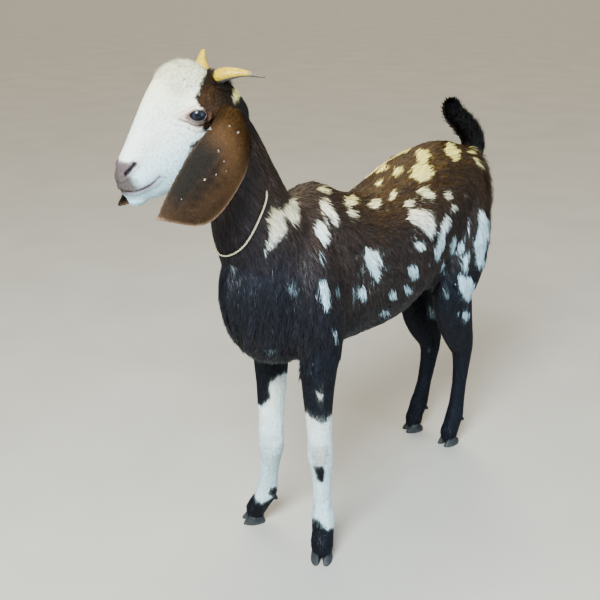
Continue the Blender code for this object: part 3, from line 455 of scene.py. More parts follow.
def view_axes():
    ca, sa = math.cos(VIEW_AZIMUTH), math.sin(VIEW_AZIMUTH)
    ce, se = math.cos(VIEW_ELEVATION), math.sin(VIEW_ELEVATION)
    back = np.array((sa * ce, -ca * ce, se))
    right = np.array((ca, sa, 0.0))
    up = np.cross(back, right)
    cr, sr = math.cos(VIEW_ROLL), math.sin(VIEW_ROLL)
    return right * cr + up * sr, -right * sr + up * cr, back


VIEW_RIGHT, VIEW_UP, VIEW_BACK = view_axes()


def to_picture(points):
    """Column and row of places on the photograph."""
    q = points - EYE_POINT
    depth = -(q @ VIEW_BACK)
    return PICTURE / 2 + FOCAL * (q @ VIEW_RIGHT) / depth, PICTURE / 2 - FOCAL * (q @ VIEW_UP) / depth


def sight_line(column, row):
    away = VIEW_RIGHT * (column - PICTURE / 2) - VIEW_UP * (row - PICTURE / 2) - VIEW_BACK * FOCAL
    return Vector(EYE_POINT), Vector(unit(away))


def tree_of(piece):
    return BVHTree.FromPolygons(places(piece).tolist(), [tuple(p.vertices) for p in piece.data.polygons])


# Forms that the skin is made of

def ear_leaf(name, side, across_steps=40, along_steps=72):
    """A broad hanging ear: a cupped leaf, thinner towards its edges."""
    front, rear = (smooth_rows(edge, along_steps // (len(edge) - 1)) for edge in EAR_EDGES[side])
    sign = 1 if side == "left" else -1
    share = np.linspace(0, 1, len(front))[:, None, None]
    across = np.linspace(0, 1, across_steps + 1)[None, :, None]
    place = front[:, None, :] * (1 - across) + rear[:, None, :] * across
    bulge = EAR_CUP * 4 * across * (1 - across) * np.sin(math.pi * np.minimum(1.0, 0.25 + 0.75 * share))
    place[..., 1] += bulge[..., 0]
    place[..., 1] *= sign
    place = from_head(place)
    levels, width = place.shape[:2]
    out = unit(np.cross(np.gradient(place, axis=0), np.gradient(place, axis=1)))
    edge = np.sqrt(np.clip(4 * across * (1 - across), 0, 1)) * np.ones_like(share)
    half = EAR_THICKNESS / 2 * (0.45 + 0.55 * edge)
    top, low = place + out * half, place - out * half
    points = np.concatenate((top.reshape(-1, 3), low.reshape(-1, 3)))
    shift = levels * width
    faces = []
    for i in range(levels - 1):
        for j in range(width - 1):
            quad = (i * width + j, (i + 1) * width + j, (i + 1) * width + j + 1, i * width + j + 1)
            faces += [quad, tuple(shift + k for k in quad[::-1])]
    rim = [i * width for i in range(levels)]
    rim += [(levels - 1) * width + j for j in range(1, width)]
    rim += [i * width + width - 1 for i in range(levels - 2, -1, -1)]
    rim += list(range(width - 2, 0, -1))
    for a, b in zip(rim, rim[1:] + rim[:1]):
        faces.append((b, a, shift + a, shift + b))
    return face_outward(mesh_object(name, points, faces), 1e-5)


def tail_rows(per_span=6):
    rows = smooth_rows(TAIL, per_span)
    rows[:, :3] -= ORIGIN
    along = unit(np.gradient(rows[:, :3], axis=0))
    front = unit(np.cross(along, (1.0, 0.0, 0.0)))
    return rows, along, front


def tail_core():
    rows, _, front = tail_rows()
    angle = np.arange(20) * 2 * math.pi / 20
    rings = []
    for row, fore in zip(rows, front):
        across = np.cos(angle)[:, None] * np.array((TAIL_FLATTEN, 0, 0)) + np.sin(angle)[:, None] * fore
        rings.append(row[:3] + across * row[4])
    return loft("tail_core", rings)


def mound(middle, size):
    """A ball or egg of flesh that fills out the skin."""
    bm = bmesh.new()
    bmesh.ops.create_uvsphere(bm, u_segments=24, v_segments=16, radius=1.0)
    made = from_bmesh("mound", bm)
    set_places(made, places(made) * size + middle)
    return made


def flesh_copy(name):
    """A node's surface, welded and pushed out a little, so that it runs into its neighbours."""
    bm = bmesh.new()
    bm.from_mesh(nodes[name].data)
    bmesh.ops.remove_doubles(bm, verts=bm.verts, dist=1e-6)
    bm.normal_update()
    for v in bm.verts:
        v.co += v.normal * CLOSE_CUTS
    return from_bmesh(name + "_copy", bm)


def joined(name, parts):
    bm = bmesh.new()
    for part in parts:
        bm.from_mesh(part.data)
        bpy.data.objects.remove(part)
    return from_bmesh(name, bm)


def is_trunk(part):
    return (part == TORSO) | (part == NECK)


def is_leg(part):
    return (part >= LEG_FL) & (part <= LEG_HR)


def part_tree():
    """One search tree over the flesh nodes, with the part that each face belongs to."""
    points, faces, owner = [], [], []
    for k, name in enumerate(FLESH):
        piece = nodes[name]
        base = len(points)
        points += places(piece).tolist()
        for p in piece.data.polygons:
            faces.append([base + i for i in p.vertices])
            owner.append(k)
    return BVHTree.FromPolygons(points, faces), np.array(owner)


PART_TREE, PART_OWNER = part_tree()


def parts_at(points):
    """Which part each place belongs to."""
    found = PART_TREE.find_nearest
    return PART_OWNER[[found(p)[2] for p in points.tolist()]]


def neighbours(piece, count):
    edges = np.empty(len(piece.data.edges) * 2, np.int32)
    piece.data.edges.foreach_get("vertices", edges)
    edges = edges.reshape(-1, 2)
    start = np.concatenate((edges[:, 0], edges[:, 1]))
    end = np.concatenate((edges[:, 1], edges[:, 0]))
    return start, end, np.maximum(np.bincount(start, minlength=count), 1)


def averaged(values, links):
    start, end, degree = links
    out = np.empty_like(values)
    for k in range(values.shape[1]):
        out[:, k] = np.bincount(start, weights=values[end, k], minlength=len(values))
    return out / degree[:, None]


def eye_axes(side):
    """Middle of the eyeball and the ways along its slit, up across it and out, in the row frame."""
    sign = 1 if side == "left" else -1
    mirror = np.array((1, sign, 1))
    along = unit(np.array(SLIT_FORWARD) * mirror)
    out = np.array(SLIT_OUT) * mirror
    out = unit(out - along * (out @ along))
    up = np.cross(along, out) * -sign
    return from_head(np.array(EYE) * mirror), along @ HEAD_AXES, up @ HEAD_AXES, out @ HEAD_AXES


def slit_share(points, side):
    """How far out of the eye's opening places lie, 1 at its edge, and their height over the ball's middle."""
    middle, along, up, out = eye_axes(side)
    q = points - middle
    x, y, h = q @ along, q @ up, q @ out
    x = x / np.where(x > 0, SLIT_FRONT, SLIT_REAR)
    y = y / np.where(y > 0, SLIT_UPPER, SLIT_LOWER)
    pinch = 1.0 - 0.30 * np.clip(x, 0, 1) ** 3
    return np.hypot(x, y / pinch), h


def line_distance(points, line):
    """Distance from places to a line of points, and how far along it the nearest one is."""
    line = np.array(line)
    best = np.full(len(points), 9.0)
    where = np.zeros(len(points))
    for k in range(len(line) - 1):
        a, b = line[k], line[k + 1]
        t = np.clip((points - a) @ (b - a) / ((b - a) @ (b - a)), 0, 1)
        gap = np.linalg.norm(points - a - t[:, None] * (b - a), axis=1)
        nearer = gap < best
        best = np.where(nearer, gap, best)
        where = np.where(nearer, (k + t) / (len(line) - 1), where)
    return best, where


MOUTH_LINE, NOSTRIL_LINE = smooth_rows(MOUTH, 3), smooth_rows(NOSTRIL, 3)


def carve_head(points, normal, part):
    """Lips, nostrils, lid folds and the groove below each eye."""
    pick = np.where((part == HEAD) | (part == NECK))[0]
    _, folded = folded_head(points[pick])
    gap, along = line_distance(folded, MOUTH_LINE)
    fade = 1 - smoothstep(0.86, 1.0, along) * 0.55
    move = fade * (-2.3 * MM * hump(gap, 1.3 * MM) + 0.9 * MM * hump(gap - 4 * MM, 2.6 * MM))
    gap, along = line_distance(folded, NOSTRIL_LINE)
    wide = (1.9 + 1.4 * np.sin(math.pi * np.clip(along, 0.05, 0.95))) * MM
    move += -6.5 * MM * hump(gap, wide) + 1.1 * MM * hump(gap - 5 * MM, 2.2 * MM)
    gap, along = line_distance(folded, TEAR_GROOVE)
    move += -1.2 * MM * hump(gap, 2.2 * MM) * (1 - 0.6 * along)
    for side in ("left", "right"):
        ring, out = slit_share(points[pick], side)
        middle, _, up, _ = eye_axes(side)
        q = points[pick] - middle
        rise = (q @ up) / (EYE_RADIUS * 0.8)
        close = (out > 0.3 * EYE_RADIUS) & (ring > 1.0)
        upper = -1.5 * MM * hump(ring - 1.95, 0.17) * smoothstep(-0.2, 0.7, rise)
        brow = 1.5 * MM * hump(ring - 2.6, 0.35) * smoothstep(0.2, 1.2, rise)
        lower = -1.1 * MM * hump(ring - 1.85, 0.16) * smoothstep(-0.2, 0.7, -rise)
        lower += -0.7 * MM * hump(ring - 2.5, 0.18) * smoothstep(0.0, 0.9, -rise)
        move += np.where(close, upper + brow + lower, 0)
    points[pick] += normal[pick] * move[:, None]
    return points


def make_skin():
    parts = [flesh_copy(name) for name in FLESH[:EAR_L]]
    parts += [ear_leaf("ear_" + side, side) for side in ("left", "right")]
    parts.append(tail_core())
    for mirror in (np.array((1, 1, 1)), np.array((1, -1, 1))):
        for middle, radius in HORN_BEDS:
            parts.append(mound(from_head(np.array(middle) * mirror), radius))
        parts.append(mound(np.array(FLANK_FOLD[0]) * mirror[[1, 0, 2]] - ORIGIN, np.array(FLANK_FOLD[1])))
    skin = joined("skin", parts)
    step = skin.modifiers.new("close", "REMESH")
    step.mode = "VOXEL"
    step.voxel_size = SKIN_VOXEL * 1.0
    bake(skin)
    points = places(skin)
    part = parts_at(points)
    count = len(points)
    links = neighbours(skin, count)
    amount = np.array(SMOOTHNESS)[part][:, None]
    ahead = to_head(points)[:, 0]
    amount[(part >= EAR_L) & (part <= EAR_R) & (ahead < EAR_ROOT)] = 0.9
    amount[(part == HEAD) & (ahead < EAR_ROOT)] = 0.7
    for _ in range(4):
        amount = averaged(amount, links)
    for _ in range(SMOOTH_ROUNDS // (1)):
        points += SHRINK * amount * (averaged(points, links) - points)
        points -= SWELL * amount * (averaged(points, links) - points)
    set_places(skin, points)
    normal = normals_of(skin)
    depth = np.array(COAT_DEPTH)[part][:, None] * MM
    for _ in range(10):
        depth = averaged(depth, links)
    points -= normal * depth
    points = carve_head(points, normal, part)
    set_places(skin, points)
    group = skin.vertex_groups.new(name="coarse")
    coarse = np.where((part == HEAD) | (part >= EAR_L), HEAD_COARSE, 1.0)
    coarse[(part == LEG_FL) | (part == LEG_FR)] = FORELEG_COARSE
    coarse[points[:, 2] < FEET_TOP] = FEET_COARSE
    for value in np.unique(coarse):
        group.add(np.where(coarse == value)[0].tolist(), value, "REPLACE")
    step = skin.modifiers.new("fewer", "DECIMATE")
    step.ratio = min(1.0, SKIN_TRIANGLES / (2 * len(skin.data.polygons)))
    step.vertex_group = group.name
    step.vertex_group_factor = COARSE_FACTOR
    bake(skin)
    skin.vertex_groups.clear()
    return skin


skin = make_skin()
skin_points = places(skin)
skin_normals = normals_of(skin)
skin_parts = parts_at(skin_points)
skin_tree = tree_of(skin)
SKIN_LINKS = neighbours(skin, len(skin_points))


# Lie of the coat

def coat_flow():
    """The way the coat lies at each place of the skin."""
    y = skin_points[:, 1] + ORIGIN[1]
    z = skin_points[:, 2]
    flow = np.zeros_like(skin_points)
    steep = 1 - np.abs(skin_normals[:, 2])
    body = skin_parts == TORSO
    hang = smoothstep(0.15, 0.85, steep) * smoothstep(0.76, 0.62, z)
    chest = smoothstep(0.16, -0.02, y)
    shoulder = smoothstep(0.17, 0.04, y) * smoothstep(0.04, 0.40, steep)
    rump = smoothstep(0.57, 0.66, y)
    thigh = smoothstep(0.70, 0.56, z) * smoothstep(0.46, 0.56, y)
    back = 1.0 - 0.55 * hang - 0.75 * chest * hang - 0.5 * rump - 0.45 * thigh - 0.4 * shoulder * (1 - chest)
    down = 0.12 + 1.15 * hang + 1.2 * chest + 2.2 * rump + 1.3 * thigh + 1.3 * shoulder
    flow[body] = np.stack((0 * y, back, -down), 1)[body]
    neck = skin_parts == NECK
    flow[neck] = (0.05, 0.50, -0.85)
    head = skin_parts == HEAD
    h = to_head(skin_points)
    cheek = smoothstep(-0.045, -0.085, h[:, 2])
    behind = smoothstep(0.015, -0.03, h[:, 0])
    local = np.stack((0.85 - 1.1 * cheek - 1.6 * behind, 0.0 * cheek, -0.25 - 0.6 * cheek - 0.4 * behind), 1)
    flow[head] = (local @ HEAD_AXES)[head]
    for leg in (LEG_FL, LEG_FR, LEG_HL, LEG_HR):
        flow[skin_parts == leg] = (0.0, 0.12, -1.0)
    for ear, side, sign in ((EAR_L, "left", 1), (EAR_R, "right", -1)):
        front, rear = (np.array(edge) * (1, sign, 1) for edge in EAR_EDGES[side])
        flow[skin_parts == ear] = (front[-1] - (front[0] + rear[0]) / 2) @ HEAD_AXES
    rows, along, _ = tail_rows()
    pick = np.where(skin_parts == TAIL_PART)[0]
    nearest = np.linalg.norm(skin_points[pick, None, :] - rows[None, :, :3], axis=2).argmin(1)
    flow[pick] = along[nearest]
    flow = unit(flow)
    for _ in range(14):
        flow = flow + averaged(flow, SKIN_LINKS)
        flow -= skin_normals * (flow * skin_normals).sum(1, keepdims=True)
        flow = unit(flow)
    return flow


skin_flow = coat_flow()


# Markings

def in_outline(column, row, outline):
    """Signed distance in picture pixels to a closed outline, positive inside."""
    outline = np.array(outline, float)
    inside = np.zeros(len(column), bool)
    gap = np.full(len(column), 1e9)
    for a, b in zip(outline, np.roll(outline, -1, 0)):
        crosses = (a[1] > row) != (b[1] > row)
        rise = b[1] - a[1] if b[1] != a[1] else 1e-9
        inside ^= crosses & (column < (b[0] - a[0]) * (row - a[1]) / rise + a[0])
        run = b - a
        t = np.clip(((column - a[0]) * run[0] + (row - a[1]) * run[1]) / (run @ run), 0, 1)
        gap = np.minimum(gap, np.hypot(column - a[0] - t * run[0], row - a[1] - t * run[1]))
    return np.where(inside, gap, -gap)


def in_oval(column, row, mark):
    """How far inside an oval mark places are: 1 at its middle, 0 at its edge."""
    across, down, width, height, lean = mark
    c, s = math.cos(math.radians(lean)), math.sin(math.radians(lean))
    x, y = column - across, row - down
    return 1 - np.hypot((x * c + y * s) / (width / 2), (-x * s + y * c) / (height / 2))


def cast(column, row):
    start, way = sight_line(column, row)
    return skin_tree.ray_cast(start, way)[0]


# Steps in picture pixels from a mark's middle, tried until one meets the skin
NEAR_TRIES = ((0, 0), (-2, 0), (-4, 0), (-7, 0), (0, 3), (-4, 4), (-10, 0), (4, 0))


def placed(outlines, spots):
    """Each mark with the place on the skin that its middle falls on."""
    out = []
    wanted = [(np.array(o, float), np.array(o, float).mean(0), 1.0) for o in outlines]
    wanted += [(s[:5], np.array(s[:2], float), s[5]) for s in spots]
    for shape, middle, strength in wanted:
        found = None
        for step in NEAR_TRIES:
            found = found or cast(middle[0] + step[0], middle[1] + step[1])
        if found is None:
            continue
        size = np.ptp(shape, axis=0).max() if isinstance(shape, np.ndarray) else max(shape[2:4])
        out.append((shape, np.array(found), MARK_REACH + 0.0010 * size, strength))
    return out


MARKS = placed(PATCHES, SPOTS)


def mark_depth(column, row, shape):
    """Picture pixels inside a mark's edge."""
    if isinstance(shape, np.ndarray):
        return in_outline(column, row, shape)
    return in_oval(column, row, shape) * min(shape[2], shape[3]) / 2


def body_white(points, flow):
    """Share of white hair on trunk, neck and thighs, with edges that fray along the hair."""
    fray = 1.9 * streaks(points, flow, 0.0032, 0.012, 3) + 1.1 * scatter(points, 0.014, 4)
    thin = 0.5 + 0.5 * streaks(points, flow, 0.0030, 0.012, 5)
    white = np.zeros(len(points))
    for far in (False, True):
        pick = np.where(points[:, 0] < 0.0)[0] if far else np.arange(len(points))
        q = points[pick].copy()
        if far:
            off = smoothstep(0.0, 0.08, -q[:, 0])
            q[:, 0] = -q[:, 0]
            q[:, 1] += 0.020 * off
            q[:, 2] += 0.012 * off
        column, row = to_picture(q)
        for shape, middle, reach, strength in MARKS:
            if far and middle[0] < 0.015:
                continue
            near = np.where(np.linalg.norm(q - middle, axis=1) < reach)[0]
            if not len(near):
                continue
            own = pick[near]
            depth = mark_depth(column[near], row[near], shape) + fray[own]
            if strength >= HAZE:
                share = smoothstep(1 - strength, 1.15 - strength, thin[own] + 0.15)
            else:
                share = strength * smoothstep(0.40, 0.80, thin[own])
            found = smoothstep(0.2, 1.9, depth) * share
            white[own] = np.maximum(white[own], found)
    for x, y, half_wide, half_long in FAR_STRIPS:
        away = np.hypot((points[:, 0] - x + 0.02) / half_wide, (points[:, 1] - y) / half_long)
        top = smoothstep(0.66, 0.70, points[:, 2])
        white = np.maximum(white, smoothstep(-0.1, 0.2, 1 - away + 0.15 * fray) * top)
    return white


# White of the forelegs on the photograph, and the dark spots, bare knee and pale fleck in it
LEG_WHITE = {
    "left": ((300, 411), (307.9, 414.8), (311.8, 419.3), (316.3, 422), (320.7, 423.8), (326, 422),
             (329.6, 417.5), (333.6, 413), (335.4, 406.8), (336.8, 403.6), (350, 398), (350, 530),
             (334, 528.2), (330.5, 529), (327, 530.9), (324.8, 527.3), (322.5, 524.3), (318.9, 521),
             (314.1, 518.4), (300, 514)),
    "right": ((245, 402), (258.2, 405), (261.8, 407), (268, 402.3), (270.7, 396), (269, 390.7),
              (269.8, 383.6), (275.2, 381.8), (277.9, 376.8), (285, 374.6), (300, 372), (300, 490),
              (275.2, 493.4), (272.5, 497), (268, 500.5), (261.8, 504), (256.4, 499.6), (253.8, 493.4),
              (240, 486)),
}
LEG_SPOT = {
    "left": ((313.6, 466.6), (323.4, 466.6), (324.8, 473), (323.8, 481.8), (320.7, 483), (317, 480),
             (315, 473)),
    "right": ((270, 488.5), (276, 486.5), (278, 491), (272.5, 497), (268, 494.5)),
}
KNEE = {
    "left": ((310, 447), (330, 447), (329.6, 456), (325.5, 466), (314, 466), (311, 456)),
    "right": ((262, 439), (272, 439), (273, 446), (268, 450), (263, 447)),
}
FLECK = ((315.5, 393), (323.5, 396.5), (321.6, 401), (318.6, 399))
LEG_BACK = {"left": -0.185, "right": -0.165}      # behind this the forelegs carry no spots


def front_leg_white(points, side):
    """Share of white on a foreleg: its upper edge runs aslant, and dark spots and a dark foot lie in it."""
    column, row = to_picture(points)
    fray = 0.9 * scatter(points, 0.0025, 5) + 0.9 * scatter(points, 0.007, 6)
    white = smoothstep(-0.7, 0.7, in_outline(column, row, LEG_WHITE[side]) + fray)
    seen = points[:, 1] < LEG_BACK[side]
    white *= 1 - seen * smoothstep(-0.7, 0.7, in_outline(column, row, LEG_SPOT[side]) + 0.5 * fray)
    if side == "left":
        fleck = seen * smoothstep(-0.7, 0.7, in_outline(column, row, FLECK) + 0.5 * fray)
        white = np.maximum(white, 0.6 * fleck)
    return white


def knee_scuff(points, side):
    """How bare the skin over the front of the knee is."""
    column, row = to_picture(points)
    ragged = 1.5 * scatter(points, 0.004, 23)
    share = smoothstep(-2.0, 2.0, in_outline(column, row, KNEE[side]) + ragged)
    share = share * (points[:, 1] < LEG_BACK[side])
    return share * (0.70 + 0.3 * scatter(points, 0.003, 24)) * (1.0 if side == "left" else 0.5)


def ear_colour(points, flow, side):
    """Red-brown at the root, dusky in the middle, a painted highlight on the rim, the far ear in painted
    shade; streaks run down to the tip.
    """
    sign = 1 if side == "left" else -1
    h = to_head(points) * (1, sign, 1)
    streak = streaks(points, flow, 0.006, 0.030, 8)
    fine = streaks(points, flow, 0.0022, 0.010, 9)
    down = h[:, 0] + 0.010 * streak
    front, _ = line_distance(h, smooth_rows(EAR_EDGES[side][0], 4))
    rear, _ = line_distance(h, smooth_rows(EAR_EDGES[side][1], 4))
    wide = front / (front + rear + 1e-6)
    dusky = smoothstep(0.045, 0.10, down) * smoothstep(0.215, 0.165, down)
    dusky *= smoothstep(0.75, 0.35, wide + 0.12 * streak)
    colour = mix(EAR_BROWN, EAR_GREY, dusky)
    lower = 0.55 * smoothstep(0.06, 0.13, down) + 0.25 * smoothstep(0.13, 0.18, down)
    colour = mix(colour, EAR_TIP, lower * (1 - 0.6 * dusky))
    # Painted rim highlight along the rear edge, and weaker along the front
    rim = 0.9 * hump(rear, 0.0040) + 0.25 * hump(front, 0.0025)
    colour = mix(colour, EAR_RIM_HIGHLIGHT, np.clip(rim, 0, 1) * 0.75)
    root = smoothstep(0.075, 0.018, h[:, 0])
    colour = mix(colour, BEHIND_EYE * 1.5, root)
    hem = smoothstep(0.018, 0.002, front) * smoothstep(0.095, 0.050, h[:, 0])
    colour = mix(colour, BEHIND_EYE * 0.6, 0.85 * hem)
    # Painted highlight near the rear edge, where the ear curves out of the light
    colour = colour * (1 + 0.7 * hump(rear, 0.012) * smoothstep(0.03, 0.06, h[:, 0]))[:, None]
    # Painted shade on the far ear
    colour *= 0.30 if side == "right" else 1.0
    return colour * (1 + 0.20 * streak + 0.12 * fine)[:, None]


EAR_SPECKS = (
    (230, 126), (238, 132), (219, 150), (225, 161), (226, 171), (216, 175), (205, 179), (182, 198),
    (246, 177), (239, 192), (252, 134), (210, 128),
)


def head_colour(points):
    """Face white, dark round the horn and behind the eye, pink at the eye, nose and lips."""
    h = to_head(points)
    folded = h.copy()
    folded[:, 1] = np.abs(h[:, 1])
    column, row = to_picture(from_head(folded))
    fray = 1.1 * scatter(points, 0.0028, 11) + 1.2 * scatter(points, 0.008, 12)
    dark = smoothstep(-0.9, 0.9, in_outline(column, row, HEAD_DARK) + fray)
    blotch = 0.5 + 0.5 * scatter(points, 0.012, 13)
    tan = np.zeros(len(h))
    for at, level, radius, strength in BROW_TAN:
        spot = np.exp(-((column - at) ** 2 + (row - level) ** 2) / radius ** 2)
        tan = np.maximum(tan, strength * spot)
    coat = mix(DARK * 1.2, BEHIND_EYE * 0.85, 0.35 + 0.5 * blotch)
    coat = mix(coat, BROWN, np.clip(0.35 * tan + 0.25 * tan * scatter(points, 0.005, 17), 0, 1))
    coat = mix(coat, DARK * 1.3, smoothstep(0.002, -0.025, h[:, 0]))
    nape = smoothstep(-0.25, 0.35, in_oval(column, row, NAPE) + 0.16 * fray)
    nape = nape * smoothstep(0.03, -0.01, h[:, 0])
    # Painted warm light on the top of the head
    pale = mix(WHITE, CREAM_AND_WARM_LIGHT, 0.32 * smoothstep(0.90, 0.985, points[:, 2]))
    # Painted cool light on the jaw and the lower face
    cool_lit_jaw = smoothstep(-0.020, -0.095, h[:, 2]) * smoothstep(0.02, 0.10, h[:, 0])
    pale = mix(pale, COOL_LIT_WHITE, 0.85 * cool_lit_jaw)
    pale *= (1 + 0.05 * scatter(points, 0.006, 14) + 0.06 * scatter(points, 0.0025, 15))[:, None]
    face = mix(pale, coat, dark * (1 - nape))
    # The nape patch cream, partly painted warm light from above
    face = mix(face, CREAM_AND_WARM_LIGHT, nape * 0.8)
    for side in ("left", "right"):
        ring, out = slit_share(points, side)
        close = out > 0.2 * EYE_RADIUS
        middle, forward, up, _ = eye_axes(side)
        ahead = smoothstep(-0.006, 0.010, (points - middle) @ forward)
        above = smoothstep(0.0, 0.008, (points - middle) @ up)
        pink = np.where(close, hump(ring - 1.2, 0.80), 0) * (0.35 + 0.45 * ahead)
        face = mix(face, PINK, pink * (1 - 0.92 * dark))
        lid = np.where(close, hump(ring - 1.75, 0.60), 0) * above
        lid *= 0.45 + 0.55 * smoothstep(0.008, -0.002, (points - middle) @ forward)
        face = mix(face, LID_TAN, 0.92 * lid * (1 - 0.75 * dark))
        shade = np.where(close, hump(ring - 2.0, 0.22), 0) * above
        face = mix(face, LID_SHADE, 0.65 * shade * (1 - 0.8 * dark))
        corner = middle + forward * SLIT_FRONT * 0.9
        gap, _ = line_distance(points, (corner, corner + forward * 0.0085 - up * 0.0012))
        face = mix(face, CORNER_RED, 0.85 * hump(gap, 0.0017))
        edge = np.where(close, smoothstep(1.34, 1.12, ring), 0)
        face = mix(face, EYE_EDGE, edge * 0.85)
    gap, along = line_distance(folded, smooth_rows(MOUTH, 3))
    lips = hump(gap, 0.0080) * (1 - 0.45 * smoothstep(0.7, 1.0, along))
    face = mix(face, LIP, 0.95 * lips)
    # Painted shade along the mouth's slit
    face = mix(face, MOUTH_SLIT_SHADE, 0.9 * hump(gap, 0.0015))
    gap, _ = line_distance(folded, smooth_rows(NOSTRIL, 3))
    pad = smoothstep(-1.6, 1.8, in_outline(column, row, NOSE_PAD) + 0.7 * fray)
    pad = np.maximum(pad, 0.8 * hump(gap, 0.0075))
    # Painted shade over the muzzle's front, on its own grey skin
    tip = smoothstep(0.188, 0.204, h[:, 0] + 0.004 * scatter(points, 0.006, 18))
    tip = tip * smoothstep(-0.088, -0.076, h[:, 2])
    face = mix(face, MUZZLE_GREY_AND_SHADE, 0.97 * tip)
    face = mix(face, mix(LIP, NOSE_GREY, 0.5 + 0.5 * scatter(points, 0.005, 16)), np.clip(pad, 0, 1) * 0.95)
    # Painted shade in the nostrils
    return mix(face, NOSTRIL_SHADE, np.exp(-(gap / 0.0036) ** 4))


def leg_colour(points, white):
    # Painted bluish sheen on the legs' dark
    dark = mix(DARK, BLUE_SHEEN_DARK, 0.7)
    # Painted cool light on the white low down the legs
    pale = mix(WHITE, COOL_LIT_WHITE, smoothstep(0.42, 0.16, points[:, 2]) * 0.6)
    pale *= (1 + 0.06 * scatter(points, 0.012, 21))[:, None]
    return mix(dark, pale, white)


def trunk_colour(p, flow):
    """Painted light: brown sheen on the sunlit back, blackish with bluish sheen below; patches cream and
    warm-lit above, cool-lit below.
    """
    high, y = p[:, 2], p[:, 1] + ORIGIN[1]
    white = body_white(p, flow)
    tone = 0.5 + 0.5 * streaks(p, flow, 0.0055, 0.016, 32)
    level = high + 0.030 * scatter(p, 0.05, 31) + 0.035 * (tone - 0.5)
    # Painted sheen: brown where the warm light lies on the back and rump
    sun = smoothstep(0.60, 0.745, level) * (0.25 + 0.75 * smoothstep(0.06, 0.24, y))
    sun = np.maximum(sun, 0.85 * smoothstep(0.56, 0.66, y) * smoothstep(0.52, 0.62, level))
    # Painted bluish sheen low on the trunk, at the chest and the neck's front
    low = smoothstep(0.56, 0.44, level)
    level = high + 0.045 * scatter(p, 0.035, 33) + 0.06 * (tone - 0.5)
    low = np.maximum(low, 0.75 * smoothstep(0.10, -0.05, y) * smoothstep(0.76, 0.54, level))
    low = np.maximum(low, 0.85 * smoothstep(0.03, -0.16, y + 0.7 * (high - 0.70) + 0.05 * (tone - 0.5)))
    dark = mix(FLANK_DARK, BLUE_SHEEN_DARK, low)
    # Painted grey sheen on the top of the withers and the rump
    grey = np.maximum(smoothstep(0.14, 0.04, y), smoothstep(0.56, 0.64, y)) * smoothstep(0.57, 0.65, high)
    dark = dark * (1 + 0.45 * grey)[:, None]
    dark = mix(dark, SUNLIT_SHEEN_BROWN, sun * (0.25 + 0.75 * tone))
    lit = high - 0.055 * smoothstep(0.20, 0.06, y)
    # Painted warm light on the white patches high up, over their own cream
    pale = mix(WHITE, CREAM_AND_WARM_LIGHT, smoothstep(0.64, 0.74, lit) * 0.92)
    # Painted light: a peach band between the warm-lit top and the cool-lit low white
    between = smoothstep(0.60, 0.66, lit) * smoothstep(0.72, 0.66, lit)
    pale = mix(pale, MID_LIGHT_PEACH, 0.5 * between * (0.5 + 0.5 * tone))
    # Painted cool light on the white patches low down
    pale = mix(pale, COOL_LIT_WHITE, smoothstep(0.67, 0.55, lit) * 0.75)
    pale *= (0.90 + 0.14 * tone)[:, None]
    return mix(dark, pale, white)


def coat_colour(points, part, flow):
    """Colour of the coat at each place: the same for the skin and for what grows on it."""
    colour = np.tile(DARK, (len(points), 1))
    trunk = (part == TORSO) | (part == NECK) | (part == LEG_HL) | (part == LEG_HR)
    colour[trunk] = trunk_colour(points[trunk], flow[trunk])
    for leg, side in ((LEG_FL, "left"), (LEG_FR, "right")):
        pick = part == leg
        q = points[pick]
        tone = leg_colour(q, front_leg_white(q, side))
        colour[pick] = mix(tone, KNEE_TAN, np.clip(knee_scuff(q, side), 0, 1) * 0.8)
    pick = part == HEAD
    colour[pick] = head_colour(points[pick])
    for ear, side in ((EAR_L, "left"), (EAR_R, "right")):
        pick = part == ear
        colour[pick] = ear_colour(points[pick], flow[pick], side)
    colour[part == TAIL_PART] = DARK * 0.85
    blend = part == NECK
    h = to_head(points[blend])
    near = smoothstep(-0.06, -0.02, h[:, 0]) * smoothstep(-0.14, -0.10, h[:, 2])
    colour[blend] = mix(colour[blend], head_colour(points[blend]), near)
    return colour


def speck_size(points, part):
    """Picture pixels inside the nearest white fleck of the ears, and less than nought elsewhere."""
    depth = np.full(len(points), -9.0)
    for ear, sign in ((EAR_L, 1), (EAR_R, -1)):
        pick = np.where(part == ear)[0]
        h = to_head(points[pick]) * (1, sign, 1)
        column, row = to_picture(from_head(h))
        for k, (u, v) in enumerate(EAR_SPECKS):
            inside = 1.0 + 0.35 * (k % 3) - np.hypot(column - u, row - v)
            depth[pick] = np.maximum(depth[pick], inside)
    return depth


skin_colour = coat_colour(skin_points, skin_parts, skin_flow)
smoothed = skin_colour
for _ in range(2):
    smoothed = 0.5 * smoothed + 0.5 * averaged(smoothed, SKIN_LINKS)
bare = ((skin_parts == HEAD) | (skin_parts >= EAR_L))[:, None]
skin_colour = np.where(bare, skin_colour, smoothed)
colour_points(skin, skin_colour * np.where(bare, 1.0, 0.9))
shade_smooth(skin)


# Coat

def spread(weights, count):
    """Indices drawn evenly in proportion to weights."""
    total = np.cumsum(weights)
    at = (np.arange(count) + draw.random(count)) / count * total[-1]
    return np.minimum(np.searchsorted(total, at), len(weights) - 1)


def triangles_of(piece):
    piece.data.calc_loop_triangles()
    tri = np.empty(len(piece.data.loop_triangles) * 3, np.int32)
    piece.data.loop_triangles.foreach_get("vertices", tri)
    return tri.reshape(-1, 3)


SKIN_TRIS = triangles_of(skin)


